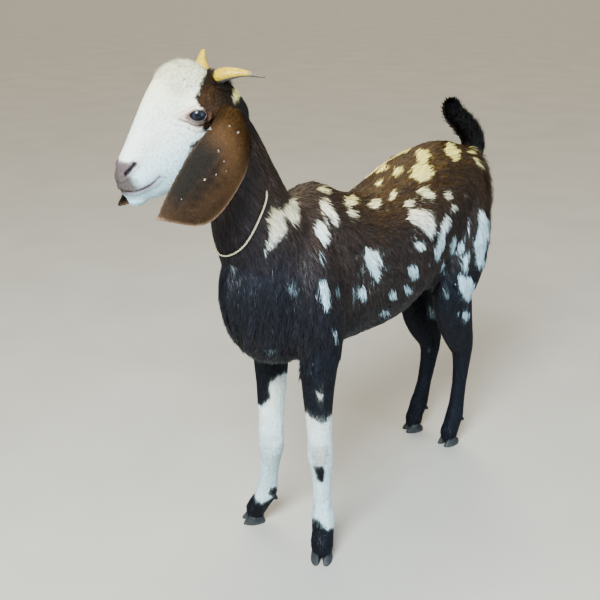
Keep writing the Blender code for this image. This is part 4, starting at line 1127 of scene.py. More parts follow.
def roots():
    """Places, normals, lies of the coat and parts for all tufts, denser where the coat is finer."""
    a, b, c = (skin_points[SKIN_TRIS[:, k]] for k in range(3))
    area = np.linalg.norm(np.cross(b - a, c - a), axis=1) / 2
    part = skin_parts[SKIN_TRIS[:, 0]]
    weight = area / np.array(SPACING)[part] ** 2
    count = TUFTS // 1
    chosen = spread(weight, count)
    r1, r2 = np.sqrt(draw.random(count)), draw.random(count)
    share = np.stack((1 - r1, r1 * (1 - r2), r1 * r2), 1)
    corners = SKIN_TRIS[chosen]

    def blended(values):
        return (values[corners] * share[:, :, None]).sum(1)

    return blended(skin_points), unit(blended(skin_normals)), unit(blended(skin_flow)), part[chosen]


def collar_line():
    """The middle line of the string, read from its solid."""
    p = places(nodes["collar"])
    middle = p.mean(0)
    _, _, axes = np.linalg.svd(p - middle)
    q = p - middle
    angle = np.arctan2(q @ axes[1], q @ axes[0])
    bins = ((angle + math.pi) / (2 * math.pi) * 40).astype(int) % 40
    order = [p[bins == k].mean(0) for k in range(40) if (bins == k).any()]
    line = np.array(order)
    for _ in range(2):
        line = 0.5 * line + 0.25 * (np.roll(line, 1, 0) + np.roll(line, -1, 0))
    return line


COLLAR_LINE = collar_line()
MANE_LOW = 0.786                                  # above this the mane hides the string


def closed_distance(points, line):
    return line_distance(points, np.vstack((line, line[:1])))[0]


HORN_LINES = {side: from_head(smooth_rows(HORNS[side][0], 4)) for side in HORNS}
HORN_WAY = unit(HORN_LINES["left"][5] - HORN_LINES["left"][0])


# How far from horns, mouth, nostrils and string no hair grows
HORN_BARE, MOUTH_BARE, NOSTRIL_BARE, STRING_BARE = 8.5 * MM, 3.4 * MM, 5.2 * MM, 3.2 * MM


def kept_roots(point, normal, part):
    """Leaves the eyes, lips, nostrils, horn roots, hoof sockets and the string's bed bare."""
    keep = np.ones(len(point), bool)
    _, folded = folded_head(point)
    face = (part == HEAD) | (part == NECK)
    for side in ("left", "right"):
        ring, out = slit_share(point, side)
        middle, _, _, _ = eye_axes(side)
        inside = (np.linalg.norm(point - middle, axis=1) < EYE_RADIUS + 1.2 * MM)
        keep &= ~(face & (inside | ((ring < 1.42) & (out > 0.2 * EYE_RADIUS))))
        gap, _ = line_distance(point, HORN_LINES[side])
        keep &= ~(face & (gap < HORN_BARE) & (folded[:, 0] > -0.02))
    gap, _ = line_distance(folded, MOUTH_LINE)
    keep &= ~(face & (gap < MOUTH_BARE) & (folded[:, 0] > 0.168))
    gap, _ = line_distance(folded, NOSTRIL_LINE)
    keep &= ~(face & (gap < NOSTRIL_BARE))
    keep &= ~(is_leg(part) & (point[:, 2] < 0.034) & (normal[:, 2] < -0.45))
    keep &= ~((closed_distance(point, COLLAR_LINE) < STRING_BARE) & (part == NECK) & (point[:, 2] < MANE_LOW))
    return keep


# The crest of the neck down to the withers, where the mane stands
MANE = (
    (0.030, -0.060, 0.850), (0.026, -0.026, 0.802), (0.016, 0.002, 0.768), (0.0, 0.056, 0.757),
)
MANE_REACH = 0.040                               # half width of the strip of longer hair
MANE_WAY = np.array((0.0, 0.80, 0.60))           # the way in which it stands off


def mane_share(point, part):
    """How far each root belongs to the mane in the corner between neck and withers."""
    gap, along = line_distance(point, np.array(MANE))
    ends = smoothstep(0.0, 0.45, along) * smoothstep(1.0, 0.8, along)
    return is_trunk(part) * hump(gap, MANE_REACH) * ends


def tuft_sizes(point, part, colour, clump):
    """Length, width and how far each tuft's tip stands off, in metres."""
    y = point[:, 1] + ORIGIN[1]
    z = point[:, 2]
    length = np.array(LENGTH)[part]
    width = np.array(WIDTH)[part]
    torso, neck, head = part == TORSO, part == NECK, part == HEAD
    feet = is_leg(part)
    pale = smoothstep(0.10, 0.35, colour[:, 1])
    ruff = np.exp(-(((point[:, 1] + 0.225) / 0.055) ** 2 + ((z - 0.70) / 0.10) ** 2))
    length += torso * pale * 5 + (torso | neck) * pale * ruff * 7
    fringe = smoothstep(0.60, 0.67, y) * smoothstep(0.40, 0.52, z) * torso
    length += 14 * fringe + 6 * fringe * pale
    breech = smoothstep(0.02, 0.06, y - 0.575) * smoothstep(0.32, 0.44, z) * feet
    length += 12 * breech
    length += 7 * torso * smoothstep(0.50, 0.44, z) * smoothstep(0.10, 0.20, y)
    breast = torso * smoothstep(0.03, -0.05, y) * smoothstep(0.62, 0.48, z)
    length += 12 * breast
    h = to_head(point)
    crest = head * smoothstep(0.004, 0.022, h[:, 2]) * smoothstep(0.085, 0.055, h[:, 0])
    length += head * (5 * smoothstep(0.05, 0.0, h[:, 0]) + 2.0 * smoothstep(-0.08, -0.11, h[:, 2]))
    length += 5.0 * crest
    ear_root = (part >= EAR_L) & (part <= EAR_R) & (h[:, 0] < 0.05)
    length += 7 * ear_root * smoothstep(0.05, 0.01, h[:, 0])
    muzzle = head * smoothstep(0.15, 0.19, h[:, 0])
    length -= 2.3 * muzzle
    crown = feet * smoothstep(0.060, 0.045, z)
    length += feet * (-1.2 * smoothstep(0.12, 0.07, z) + 3.0 * smoothstep(0.34, 0.44, z)) + 7.0 * crown
    width += feet * 0.4 * smoothstep(0.34, 0.44, z)
    width -= 0.25 * muzzle
    length *= 0.75 + 0.5 * draw.random(len(point))
    lift = 0.9 + 0.055 * length + 0.5 * draw.random(len(point))
    lift = np.where(head, 0.38 * lift + 7.5 * crest * draw.random(len(point)) ** 1.6, lift)
    lift = np.where(feet, 0.55 * lift, lift)
    lift = np.where(part >= EAR_L, 0.30 * lift, lift)
    lift = np.where(torso | neck, lift * (1 + 0.80 * clump), lift)
    lift += 13.0 * (fringe + breech) * draw.random(len(point)) ** 3
    lift += 4.0 * breast * draw.random(len(point)) ** 2
    lift += torso * pale * 1.2 * draw.random(len(point))
    mane = mane_share(point, part)
    length += 28 * mane
    width += 0.7 * mane
    lift += (1 + 5 * draw.random(len(point))) * mane
    speck = speck_size(point, part) > 0
    length[speck], width[speck] = 1.9, 1.5
    return length * MM, width * MM, lift * MM


def clear_of_string(point, flow, length, part):
    """Shortens the hair that would cross the string."""
    near = is_trunk(part) & (point[:, 2] < MANE_LOW)
    near = np.where(near & (closed_distance(point, COLLAR_LINE) < 0.024))[0]
    for share in (1.0, 0.75, 0.5, 0.25):
        tip = point[near] + flow[near] * length[near, None] * share
        crossing = closed_distance(tip, COLLAR_LINE) < 3.6 * MM
        length[near[crossing]] *= 0.72
    return length


# Where each part's unwrap lies in the map: lowest corner and size
ATLAS = {
    TORSO: (0.0, 0.0, 0.62, 0.55), NECK: (0.0, 0.56, 0.30, 0.24), HEAD: (0.31, 0.56, 0.31, 0.42),
    LEG_FL: (0.63, 0.0, 0.17, 0.40), LEG_FR: (0.82, 0.0, 0.17, 0.40), LEG_HL: (0.63, 0.41, 0.17, 0.40),
    LEG_HR: (0.82, 0.41, 0.17, 0.40), EAR_L: (0.0, 0.81, 0.30, 0.17), EAR_R: (0.63, 0.82, 0.17, 0.17),
    TAIL_PART: (0.82, 0.82, 0.17, 0.17),
}


def unwrapped(point, normal, part):
    """Place of each root on an unwrap of the skin: round and along each part, both faces of an ear apart."""
    spot = np.zeros((len(point), 2))
    for k in range(10):
        pick = part == k
        if not pick.any():
            continue
        q = point[pick]
        if k == TORSO:
            round_, along = np.arctan2(q[:, 0] - 0.0085, q[:, 2] - 0.60), q[:, 1]
        elif k == NECK:
            round_, along = np.arctan2(q[:, 0] - 0.0085, q[:, 1] + 0.30 + 0.35 * (q[:, 2] - 0.75)), q[:, 2]
        elif k == HEAD:
            h = to_head(q)
            round_, along = np.arctan2(h[:, 1], h[:, 2] + 0.045), h[:, 0]
        elif k in (EAR_L, EAR_R):
            h = to_head(q)
            face = (normal[pick] @ HEAD_AXES[1]) > 0
            low, high = h[:, 2].min(), h[:, 2].max()
            round_ = ((h[:, 2] - low) / (high - low) * 0.48 + 0.51 * face) * 2 * math.pi - math.pi
            along = h[:, 0]
        elif k == TAIL_PART:
            rows, _, front = tail_rows()
            nearest = np.linalg.norm(q[:, None, :] - rows[None, :, :3], axis=2).argmin(1)
            away = q - rows[nearest, :3]
            round_, along = np.arctan2(away[:, 0], (away * front[nearest]).sum(1)), nearest.astype(float)
        else:
            level = np.round(q[:, 2] / 0.02).astype(int)
            middle = np.array([q[level == v, :2].mean(0) if (level == v).any() else (0, 0)
                               for v in range(level.max() + 1)])
            round_, along = np.arctan2(*(q[:, :2] - middle[level]).T), q[:, 2]
        u0, v0, wide, high = ATLAS[k]
        along = (along - along.min()) / max(np.ptp(along), 1e-9)
        spot[pick, 0] = u0 + wide * (0.02 + 0.96 * (round_ / (2 * math.pi) + 0.5))
        spot[pick, 1] = v0 + high * (0.02 + 0.96 * along)
    return spot


PATCH = 0.003
PATCH_SHAPE = np.array(((-0.5, -0.5), (0.5, -0.5), (0.0, -0.2), (0.0, 0.5))) * PATCH


def strands(name, point, normal, flow, length, width, lift, colour, spot, levels=1, bend=0.0, relief=0.30):
    """Tufts as thin closed blades of three sides, rings and a pointed tip each, joined into pieces."""
    side = unit(np.cross(normal, flow))
    count = len(point)
    thick = np.clip(width * 0.35, 0.0003, 0.0009)
    shares = np.arange(levels) / levels
    rings, shade, patch = [], [], []
    for t in shares:
        middle = point + flow * (length * t)[:, None]
        rise = lift * (t ** (0.75 if bend else 1.0)) * (1 + bend * math.sin(math.pi * t)) - 0.0005 * (t == 0)
        middle = middle + normal * rise[:, None]
        half = width * 0.5 * (1 - 0.35 * t ** 2) * (0.85 if t == 0 and levels > 1 else 1.0)
        rings += [middle + side * half[:, None], middle - side * half[:, None],
                  middle + normal * (thick * (1 - 0.4 * t))[:, None]]
        tone = 0.80 + 0.22 * t
        shade += [tone, tone, tone]
        for k in range(3):
            patch.append(PATCH_SHAPE[k] + (0, PATCH * 0.8 * t))
    rings.append(point + flow * length[:, None] + normal * lift[:, None])
    shade.append(1.10)
    patch.append(PATCH_SHAPE[3])
    per = len(rings)
    faces = [(0, 1, 2)]
    for k in range(levels - 1):
        a, b = 3 * k, 3 * k + 3
        for i, j in ((0, 2), (2, 1), (1, 0)):
            faces += [(a + i, a + j, b + j), (a + i, b + j, b + i)]
    a, tip = 3 * (levels - 1), per - 1
    faces += [(a, a + 2, tip), (a + 2, a + 1, tip), (a + 1, a, tip)]
    faces = np.array(faces)
    made = []
    batch = PIECE_TRIANGLES // len(faces)
    vertices = np.stack(rings, 1)
    patch = np.array(patch)
    for n, start in enumerate(range(0, count, batch)):
        end = min(count, start + batch)
        own = end - start
        grid = (faces[None] + (np.arange(own) * per)[:, None, None]).reshape(-1, 3)
        piece = mesh_object(f"{name}_{n + 1}", vertices[start:end].reshape(-1, 3), grid)
        tone = colour[start:end, None, :] * np.array(shade)[None, :, None]
        colour_points(piece, tone.reshape(-1, 3))
        layer = piece.data.uv_layers.new(name="OFBake")
        uv = (spot[start:end, None, :] + patch[None]).reshape(-1, 2)[grid.ravel()]
        layer.data.foreach_set("uv", uv.astype(np.float32).ravel())
        shade_smooth(piece)
        soft = unit(normal[start:end] + relief * flow[start:end] * draw.normal(0, 0.5, (own, 1))
                    + relief * side[start:end] * draw.normal(0, 0.6, (own, 1)))
        lean = np.zeros((own, per, 3))
        lean += soft[:, None, :]
        for k in range(levels):
            lean[:, 3 * k] += 0.55 * side[start:end]
            lean[:, 3 * k + 1] -= 0.55 * side[start:end]
        piece.data.normals_split_custom_set_from_vertices(unit(lean).reshape(-1, 3).tolist())
        made.append(piece)
    return made


def tuft_colour(colour, count):
    """Each tuft a little lighter or darker than its neighbours, dark ones more so."""
    value = np.exp(draw.normal(0, 1, count) * np.where(colour[:, 1] > 0.2, 0.16, 0.34))
    return colour * value[:, None]


def poll_hair(point, part):
    """The dark hair round the foot of the left horn, which covers its root."""
    gap, along = line_distance(point, HORN_LINES["left"])
    return (part == HEAD) & (gap < 0.0210) & (along < 0.45)


def grow_coat():
    point, normal, flow, part = roots()
    keep = kept_roots(point, normal, part) & (part != TAIL_PART)
    point, normal, flow, part = point[keep], normal[keep], flow[keep], part[keep]
    reach = np.array(LENGTH)[part] * SEEN_SHARE * MM
    colour = coat_colour(point + flow * reach[:, None], part, flow)
    poll = poll_hair(point, part)
    flow[poll] = unit(flow[poll] + 1.3 * HORN_WAY)
    behind = mane_share(point, part) * smoothstep(-0.3, 0.2, normal @ MANE_WAY)
    flow = unit(flow + behind[:, None] * (1.3 * MANE_WAY + 0.9 * normal))
    side = np.cross(normal, flow)
    clump = streaks(point, flow, 0.0060, 0.014, 44)
    near = 2.0 * MM * side
    pull = streaks(point + near, flow, 0.0060, 0.014, 44) - streaks(point - near, flow, 0.0060, 0.014, 44)
    wave = 0.20 * scatter(point, 0.022, 41) + draw.normal(0, 0.09, len(point))
    body = is_trunk(part)
    wave += np.where(body, 0.70, 0.15) * pull
    length, width, lift = tuft_sizes(point, part, colour, clump)
    length = clear_of_string(point, flow, length, part)
    length[poll] = (8.0 + 4.0 * draw.random(poll.sum())) * MM
    lift[poll] = (1.5 + 3.5 * draw.random(poll.sum())) * MM
    flow = unit(flow + side * wave[:, None])
    colour = coat_colour(point + flow * (length * SEEN_SHARE)[:, None], part, flow)
    colour *= (1 + np.where(colour[:, 1] > 0.2, 0.14, 0.50) * clump)[:, None]
    colour[speck_size(point, part) > 0] = WHITE * 0.85
    colour[poll] = BEHIND_EYE * 0.8
    colour = tuft_colour(colour, len(point))
    spot = unwrapped(point, normal, part)
    long = length > LONG_TUFT
    pieces = []
    groups = (
        ("coat_body", body), ("coat_legs", is_leg(part)),
        ("coat_head", part == HEAD), ("coat_ears", (part == EAR_L) | (part == EAR_R)),
    )
    for name, chosen in groups:
        pick = chosen & ~long
        relief = 0.80 if name == "coat_head" else 0.45
        pieces += strands(name, point[pick], normal[pick], flow[pick], length[pick], width[pick], lift[pick],
                          colour[pick], spot[pick], relief=relief)
    values = (point, normal, flow, length, width, lift, colour, spot)
    pieces += strands("coat_long", *(v[long] for v in values), 2, 0.4)
    return pieces


def grow_tail():
    """The tail's brush: long locks that rise from the core and bend over towards its blunt tip."""
    rows, along, _ = tail_rows(8)
    count = TAIL_TUFTS // 1
    place = draw.random(count) ** 0.85 * (len(rows) - 1.001)
    low = place.astype(int)
    share = (place - low)[:, None]
    row = rows[low] * (1 - share) + rows[low + 1] * share
    way = unit(along[low] * (1 - share) + along[low + 1] * share)
    fore = unit(np.cross(way, (1.0, 0.0, 0.0)))
    angle = draw.random(count) * 2 * math.pi
    out = unit(np.cos(angle)[:, None] * np.array((1.0, 0, 0)) + np.sin(angle)[:, None] * fore)
    point = row[:, :3] + out * (row[:, 4] * 0.9)[:, None]
    total = np.linalg.norm(np.diff(rows[:, :3], axis=0), axis=1).sum()
    left = total * (1 - place / (len(rows) - 1))
    length = (24 + 12 * draw.random(count)) * MM
    length = np.minimum(length, left + 0.012)
    lift = np.maximum(row[:, 3] - row[:, 4], 0.004) * (0.55 + 0.5 * draw.random(count))
    flow = unit(way + 0.12 * draw.normal(0, 1, (count, 3)))
    colour = tuft_colour(np.tile(DARK * 0.9, (count, 1)), count)
    warm = (place / len(rows) < 0.35) & (draw.random(count) < 0.4)
    colour[warm] = colour[warm] * (1.9, 1.4, 1.1)
    spot = np.zeros((count, 2))
    u0, v0, wide, high = ATLAS[TAIL_PART]
    spot[:, 0] = u0 + wide * (0.02 + 0.96 * angle / (2 * math.pi))
    spot[:, 1] = v0 + high * (0.02 + 0.96 * place / (len(rows) - 1))
    width = np.full(count, 2.2 * MM)
    return strands("coat_tail", point, out, flow, length, width, lift, colour, spot, 4, 0.5)


coat = grow_coat() + grow_tail()


# Eyes, lids and lashes

def slit_point(side, share, angle, height):
    """A place over the eye: share of the opening's size, angle round it, height over the ball's middle."""
    middle, along, up, out = eye_axes(side)
    x, y = math.cos(angle), math.sin(angle)
    pinch = 1.0 - 0.30 * max(0.0, x) ** 3
    across = x * (SLIT_FRONT if x > 0 else SLIT_REAR) * share
    rise = y * pinch * (SLIT_UPPER if y > 0 else SLIT_LOWER) * share
    return middle + along * across + up * rise + out * height, math.hypot(across, rise)


def ball_height(reach, radius):
    return math.sqrt(max(radius ** 2 - reach ** 2, (0.42 * radius) ** 2))


def eyeball(side):
    """A ball with a slightly raised cornea; its slit frame is kept in an attribute for the iris."""
    middle, along, up, out = eye_axes(side)
    levels, around = 40, 64
    points = [middle + out * (EYE_RADIUS - 0.0002 + 0.0006)]
    local = [(0.0, 0.0, 1.0)]
    for i in range(1, levels):
        tilt = math.pi * i / levels
        raised = 0.0006 * math.exp(-(tilt / 0.55) ** 4)
        for j in range(around):
            turn = 2 * math.pi * j / around
            x, y, z = math.sin(tilt) * math.cos(turn), math.sin(tilt) * math.sin(turn), math.cos(tilt)
            points.append(middle + (along * x + up * y + out * z) * (EYE_RADIUS - 0.0002 + raised))
            local.append((x, y, z))
    points.append(middle - out * (EYE_RADIUS - 0.0002))
    local.append((0.0, 0.0, -1.0))
    faces = [(0, 1 + j, 1 + (j + 1) % around) for j in range(around)]
    for i in range(levels - 2):
        a, b = 1 + i * around, 1 + (i + 1) * around
        faces += [(a + j, b + j, b + (j + 1) % around, a + (j + 1) % around) for j in range(around)]
    end, a = len(points) - 1, 1 + (levels - 2) * around
    faces += [(end, a + (j + 1) % around, a + j) for j in range(around)]
    made = mesh_object(f"eye_{side}_ball", points, faces)
    vector_points(made, "slit", local)
    shade_smooth(made)
    return made


def skin_below(place, way):
    """The skin's height under a place, along a way that points out of the head."""
    found = skin_tree.ray_cast(Vector(place + way * 0.03), Vector(-way))
    return None if found[0] is None else np.array(found[0])


def lids(side):
    """The rim of both lids: from the eyeball over a wet edge to a rounded fold that runs into the skin."""
    _, _, _, out = eye_axes(side)
    profile = (
        (0.90, -0.0006), (0.96, 0.0003), (1.00, 0.0012), (1.06, 0.0021), (1.14, 0.0026), (1.24, 0.0024),
    )
    count = 72
    rings = []
    for share, height in profile:
        ring = []
        for angle in np.arange(count) * 2 * math.pi / count:
            hood = 0.0008 * max(0.0, math.sin(angle)) * (share > 1.0)
            _, reach = slit_point(side, share, angle, 0)
            base = ball_height(reach, EYE_RADIUS)
            ring.append(slit_point(side, share, angle, base + height + hood)[0])
        rings.append(ring)
    for share, sink in ((1.42, 0.0002), (1.62, 0.0012)):
        ring = []
        for angle in np.arange(count) * 2 * math.pi / count:
            level, _ = slit_point(side, share, angle, EYE_RADIUS)
            below = skin_below(level, out)
            below = level if below is None or np.linalg.norm(below - level) > 0.009 else below
            ring.append(below - out * sink)
        ring = np.array(ring)
        for _ in range(6):
            ring = 0.5 * ring + 0.25 * (np.roll(ring, 1, 0) + np.roll(ring, -1, 0))
        rings.append(ring)
    rings = np.array(rings)
    levels = len(rings)
    faces = []
    for i in range(levels - 1):
        for j in range(count):
            a, b = i * count, (i + 1) * count
            faces.append((a + j, a + (j + 1) % count, b + (j + 1) % count, b + j))
    made = face_outward(mesh_object(f"eye_{side}_lids", rings.reshape(-1, 3), faces))
    step = made.modifiers.new("round", "SUBSURF")
    step.levels = 1
    step.render_levels = 1
    bake(made)
    p = places(made)
    ring, _ = slit_share(p, side)
    tone = head_colour(p)
    middle, forward, _, _ = eye_axes(side)
    ahead = smoothstep(0.006, 0.013, (p - middle) @ forward)
    rim = mix(LID_WET, INNER_CORNER, ahead)
    colour_points(made, mix(rim, tone, smoothstep(1.03, 1.18, ring)))
    shade_smooth(made)
    return made


def lashes(side):
    """Short lashes along the upper lid, and a few along the lower."""
    _, along, up, out = eye_axes(side)
    point, flow, length = [], [], []
    for angle, reach in zip(np.linspace(0.25, 2.75, 96), 0.0085 + 0.0035 * draw.random(96)):
        _, flat = slit_point(side, 1.07, angle, 0)
        point.append(slit_point(side, 1.07, angle, ball_height(flat, EYE_RADIUS) + 0.0024)[0])
        fan = along * (0.55 * math.cos(angle) + 0.25) + up * (-0.15 + 0.25 * draw.random()) + out * 0.9
        flow.append(fan)
        length.append(reach)
    for angle, reach in zip(np.linspace(3.7, 5.8, 24), 0.004 + 0.002 * draw.random(24)):
        _, flat = slit_point(side, 1.07, angle, 0)
        point.append(slit_point(side, 1.07, angle, ball_height(flat, EYE_RADIUS) + 0.0020)[0])
        flow.append(along * 0.5 * math.cos(angle) - up * 0.5 + out * 0.75)
        length.append(reach)
    point, flow, length = np.array(point), unit(np.array(flow)), np.array(length)
    normal = unit(np.cross(flow, np.cross(up, flow)))
    colour = np.tile(WHITE * 0.95, (len(point), 1))
    dark = (point - eye_axes(side)[0]) @ along < -0.005
    colour[dark] = BROWN * 0.5
    width = np.full(len(point), 0.00042)
    spot = np.tile((0.45, 0.72), (len(point), 1)) + draw.random((len(point), 2)) * 0.01
    lift = length * -0.22
    return strands(f"eye_{side}_lashes", point, normal, flow, length, width, lift, colour, spot, 3, 0.0)


# Horns

def horn(side):
    """A short horn: flattened ovals on a curved line, ringed; its own frame is kept for the colours."""
    rows = smooth_rows([(*p, *r) for p, r in zip(*HORNS[side])], 16)
    along = np.gradient(rows[:, :3], axis=0)
    around = 36
    rings, local = [], []
    last = len(rows) - 1
    for k, (row, way) in enumerate(zip(rows, along)):
        way = unit(way)
        fore = unit(np.cross((0.0, 0.0, 1.0), way))
        up = unit(np.cross(way, fore))
        t = k / last
        ridge = 1 + 0.022 * math.sin(34 * t) * (1 - t) * smoothstep(0.05, 0.2, np.array(t))
        ring = []
        for j in range(around):
            turn = 2 * math.pi * j / around
            x, y = math.cos(turn), math.sin(turn)
            ring.append(row[:3] + (fore * x * row[4] + up * y * row[3]) * ridge * 0.985)
            local.append((x, y, t * (1.0 if side == "left" else 0.72)))
        rings.append(ring)
    made = loft(f"horn_{side}_sheath", [from_head(r) for r in rings])
    vector_points(made, "sheath", local)
    shade_smooth(made)
    return made


# String

STRING_DEPTH = 0.0030                             # how far under the skin the string lies below the mane
STRING_LAY, STRING_PLY = 0.00080, 0.00096         # how far each ply lies off the middle line, and its radius


def twisted_string():
    """The collar's string: two plies wound round its middle line."""
    line = COLLAR_LINE
    closed = np.vstack((line, line[:1]))
    length = np.linalg.norm(np.diff(closed, axis=0), axis=1).sum()
    steps = 620
    spans = len(line)
    dense = []
    for k in range(spans):
        a, b, c, d = line[k - 1], line[k], line[(k + 1) % spans], line[(k + 2) % spans]
        for t in np.arange(0, 1, spans / steps):
            dense.append(0.5 * (2 * b + (c - a) * t + (2 * a - 5 * b + 4 * c - d) * t ** 2
                                + (3 * b - a - 3 * c + d) * t ** 3))
    dense = np.array(dense)
    below = [skin_tree.find_nearest(p) for p in dense.tolist()]
    under = np.array([tuple(hit[0] - hit[1] * STRING_DEPTH) for hit in below])
    dense = mix(dense, under, smoothstep(MANE_LOW - 0.012, MANE_LOW + 0.010, dense[:, 2]))
    way = unit(np.roll(dense, -1, 0) - np.roll(dense, 1, 0))
    out = unit(dense - dense.mean(0))
    out = unit(out - way * (out * way).sum(1, keepdims=True))
    cross = np.cross(way, out)
    turns = round(length / 0.0085)
    plies = []
    for phase in (0.0, math.pi):
        angle = np.arange(len(dense)) / len(dense) * 2 * math.pi * turns + phase
        middle = dense + (out * np.cos(angle)[:, None] + cross * np.sin(angle)[:, None]) * STRING_LAY
        around = np.arange(8) * 2 * math.pi / 8
        ring = out[:, None, :] * np.cos(around)[None, :, None]
        ring = ring + cross[:, None, :] * np.sin(around)[None, :, None]
        fuzz = 1 + 0.07 * draw.normal(0, 1, (len(dense), 1, 1))
        plies.append(loft("ply", middle[:, None, :] + ring * STRING_PLY * fuzz, closed=True))
    made = joined("collar_string", plies)
    shade_smooth(made)
    return made


# Materials

def new_material(name):
    made = bpy.data.materials.new(name)
    made.use_nodes = True
    tree = made.node_tree
    return made, tree, tree.nodes["Principled BSDF"]


def link(tree, source, output, target, socket):
    tree.links.new(source.outputs[output], target.inputs[socket])


def noise_node(tree, scale, detail=3.0, stretch=None):
    node = tree.nodes.new("ShaderNodeTexNoise")
    node.inputs["Scale"].default_value = scale
    node.inputs["Detail"].default_value = detail
    coordinates = tree.nodes.new("ShaderNodeTexCoord")
    if stretch is None:
        link(tree, coordinates, "Object", node, "Vector")
    else:
        mapping = tree.nodes.new("ShaderNodeMapping")
        mapping.inputs["Scale"].default_value = stretch
        link(tree, coordinates, "Object", mapping, "Vector")
        link(tree, mapping, "Vector", node, "Vector")
    return node


def ramp_node(tree, stops):
    node = tree.nodes.new("ShaderNodeValToRGB")
    ramp = node.color_ramp
    while len(ramp.elements) > 1:
        ramp.elements.remove(ramp.elements[-1])
    ramp.elements[0].position = stops[0][0]
    ramp.elements[0].color = (*stops[0][1], 1)
    for position, colour in stops[1:]:
        ramp.elements.new(position).color = (*colour, 1)
    return node


def math_node(tree, operation, first, second=None, clamp=False):
    node = tree.nodes.new("ShaderNodeMath")
    node.operation = operation
    node.use_clamp = clamp
    for k, value in enumerate((first, second)):
        if value is None:
            continue
        if isinstance(value, (int, float)):
            node.inputs[k].default_value = value
        else:
            tree.links.new(value, node.inputs[k])
    return node.outputs[0]


def mixed(tree, share, first, second, blend="MIX"):
    """A colour mix of two sockets or colours."""
    node = tree.nodes.new("ShaderNodeMix")
    node.data_type = "RGBA"
    node.blend_type = blend
    for socket, value in ((node.inputs["Factor"], share), (node.inputs[6], first), (node.inputs[7], second)):
        if isinstance(value, bpy.types.NodeSocket):
            tree.links.new(value, socket)
        elif isinstance(value, (int, float)):
            socket.default_value = value
        else:
            socket.default_value = (*value, 1)
    return node.outputs[2]


def attribute_node(tree, name):
    made = tree.nodes.new("ShaderNodeAttribute")
    made.attribute_name = name
    return made


def split_node(tree, source, output):
    made = tree.nodes.new("ShaderNodeSeparateXYZ")
    link(tree, source, output, made, "Vector")
    return made.outputs


def wave_node(tree, source, output, scale, distortion):
    """Rings across the third axis of the given vector."""
    made = tree.nodes.new("ShaderNodeTexWave")
    made.bands_direction = "Z"
    made.inputs["Scale"].default_value = scale
    made.inputs["Distortion"].default_value = distortion
    link(tree, source, output, made, "Vector")
    return made


def ramped(tree, value, *stops):
    """The colour that a value takes between stops; a bare number in a stop is a grey."""
    made = ramp_node(tree, [(at, tone if isinstance(tone, tuple) else (tone,) * 3) for at, tone in stops])
    tree.links.new(value, made.inputs["Fac"])
    return made.outputs["Color"]


def surface(tree, shader, colour, roughness, gloss=None):
    tree.links.new(colour, shader.inputs["Base Color"])
    shader.inputs["Roughness"].default_value = roughness
    if gloss is not None:
        shader.inputs["Specular IOR Level"].default_value = gloss


def relief_of(tree, shader, texture, strength, distance):
    bump = tree.nodes.new("ShaderNodeBump")
    bump.inputs["Strength"].default_value = strength
    bump.inputs["Distance"].default_value = distance
    link(tree, texture, "Fac", bump, "Height")
    link(tree, bump, "Normal", shader, "Normal")


def coat_material(name, scale, detail, low, high, roughness, gloss, relief=False):
    """The coat's own colours, made darker and paler by fine noise."""
    made, tree, shader = new_material(name)
    own = attribute_node(tree, "coat")
    speck = noise_node(tree, scale, detail)
    tone = ramped(tree, speck.outputs["Fac"], low, high)
    surface(tree, shader, mixed(tree, 1.0, own.outputs["Color"], tone, "MULTIPLY"), roughness, gloss)
    if relief:
        relief_of(tree, shader, speck, 0.35, 0.0012)
    return made


def hair_material(name, roughness, gloss):
    return coat_material(name, 260.0, 2.0, (0.25, 0.78), (0.75, 1.12), roughness, gloss)


def hide_material():
    """The skin under the coat: the coat's own colours with fine hair-like relief."""
    return coat_material("hide", 420.0, 4.0, (0.3, 0.80), (0.7, 1.10), 0.65, 0.06, True)


def pupil_edge(tree, value, half):
    """Grows fast from 1 where the value passes half the pupil's size."""
    return math_node(tree, "POWER", math_node(tree, "ABSOLUTE", math_node(tree, "DIVIDE", value, half)), 4.0)


def eye_material():
    """Dark wet eye: a grey-amber iris round a wide level pupil, with a bluish dark rim."""
    made, tree, shader = new_material("eye_wet")
    split = split_node(tree, attribute_node(tree, "slit"), "Vector")
    x, y = split["X"], split["Y"]
    radius = math_node(tree, "SQRT", math_node(tree, "ADD", math_node(tree, "MULTIPLY", x, x),
                                               math_node(tree, "MULTIPLY", y, y)))
    ring = ramped(tree, radius, (0.0, (0.006, 0.007, 0.010)), (0.34, (0.010, 0.011, 0.014)),
                  (0.52, (0.018, 0.022, 0.030)), (0.62, (0.008, 0.013, 0.024)), (0.72, (0.008, 0.007, 0.008)),
                  (0.86, (0.07, 0.04, 0.04)), (1.0, (0.32, 0.20, 0.18)))
    across = math_node(tree, "ADD", pupil_edge(tree, x, 0.40), pupil_edge(tree, y, 0.17))
    pupil = math_node(tree, "SUBTRACT", 1.25, across, clamp=True)
    fleck = noise_node(tree, 900.0, 3.0)
    iris = mixed(tree, 0.25, ring, fleck.outputs["Color"], "MULTIPLY")
    surface(tree, shader, mixed(tree, pupil, iris, (0.003, 0.004, 0.007)), 0.10, 0.25)
    return made


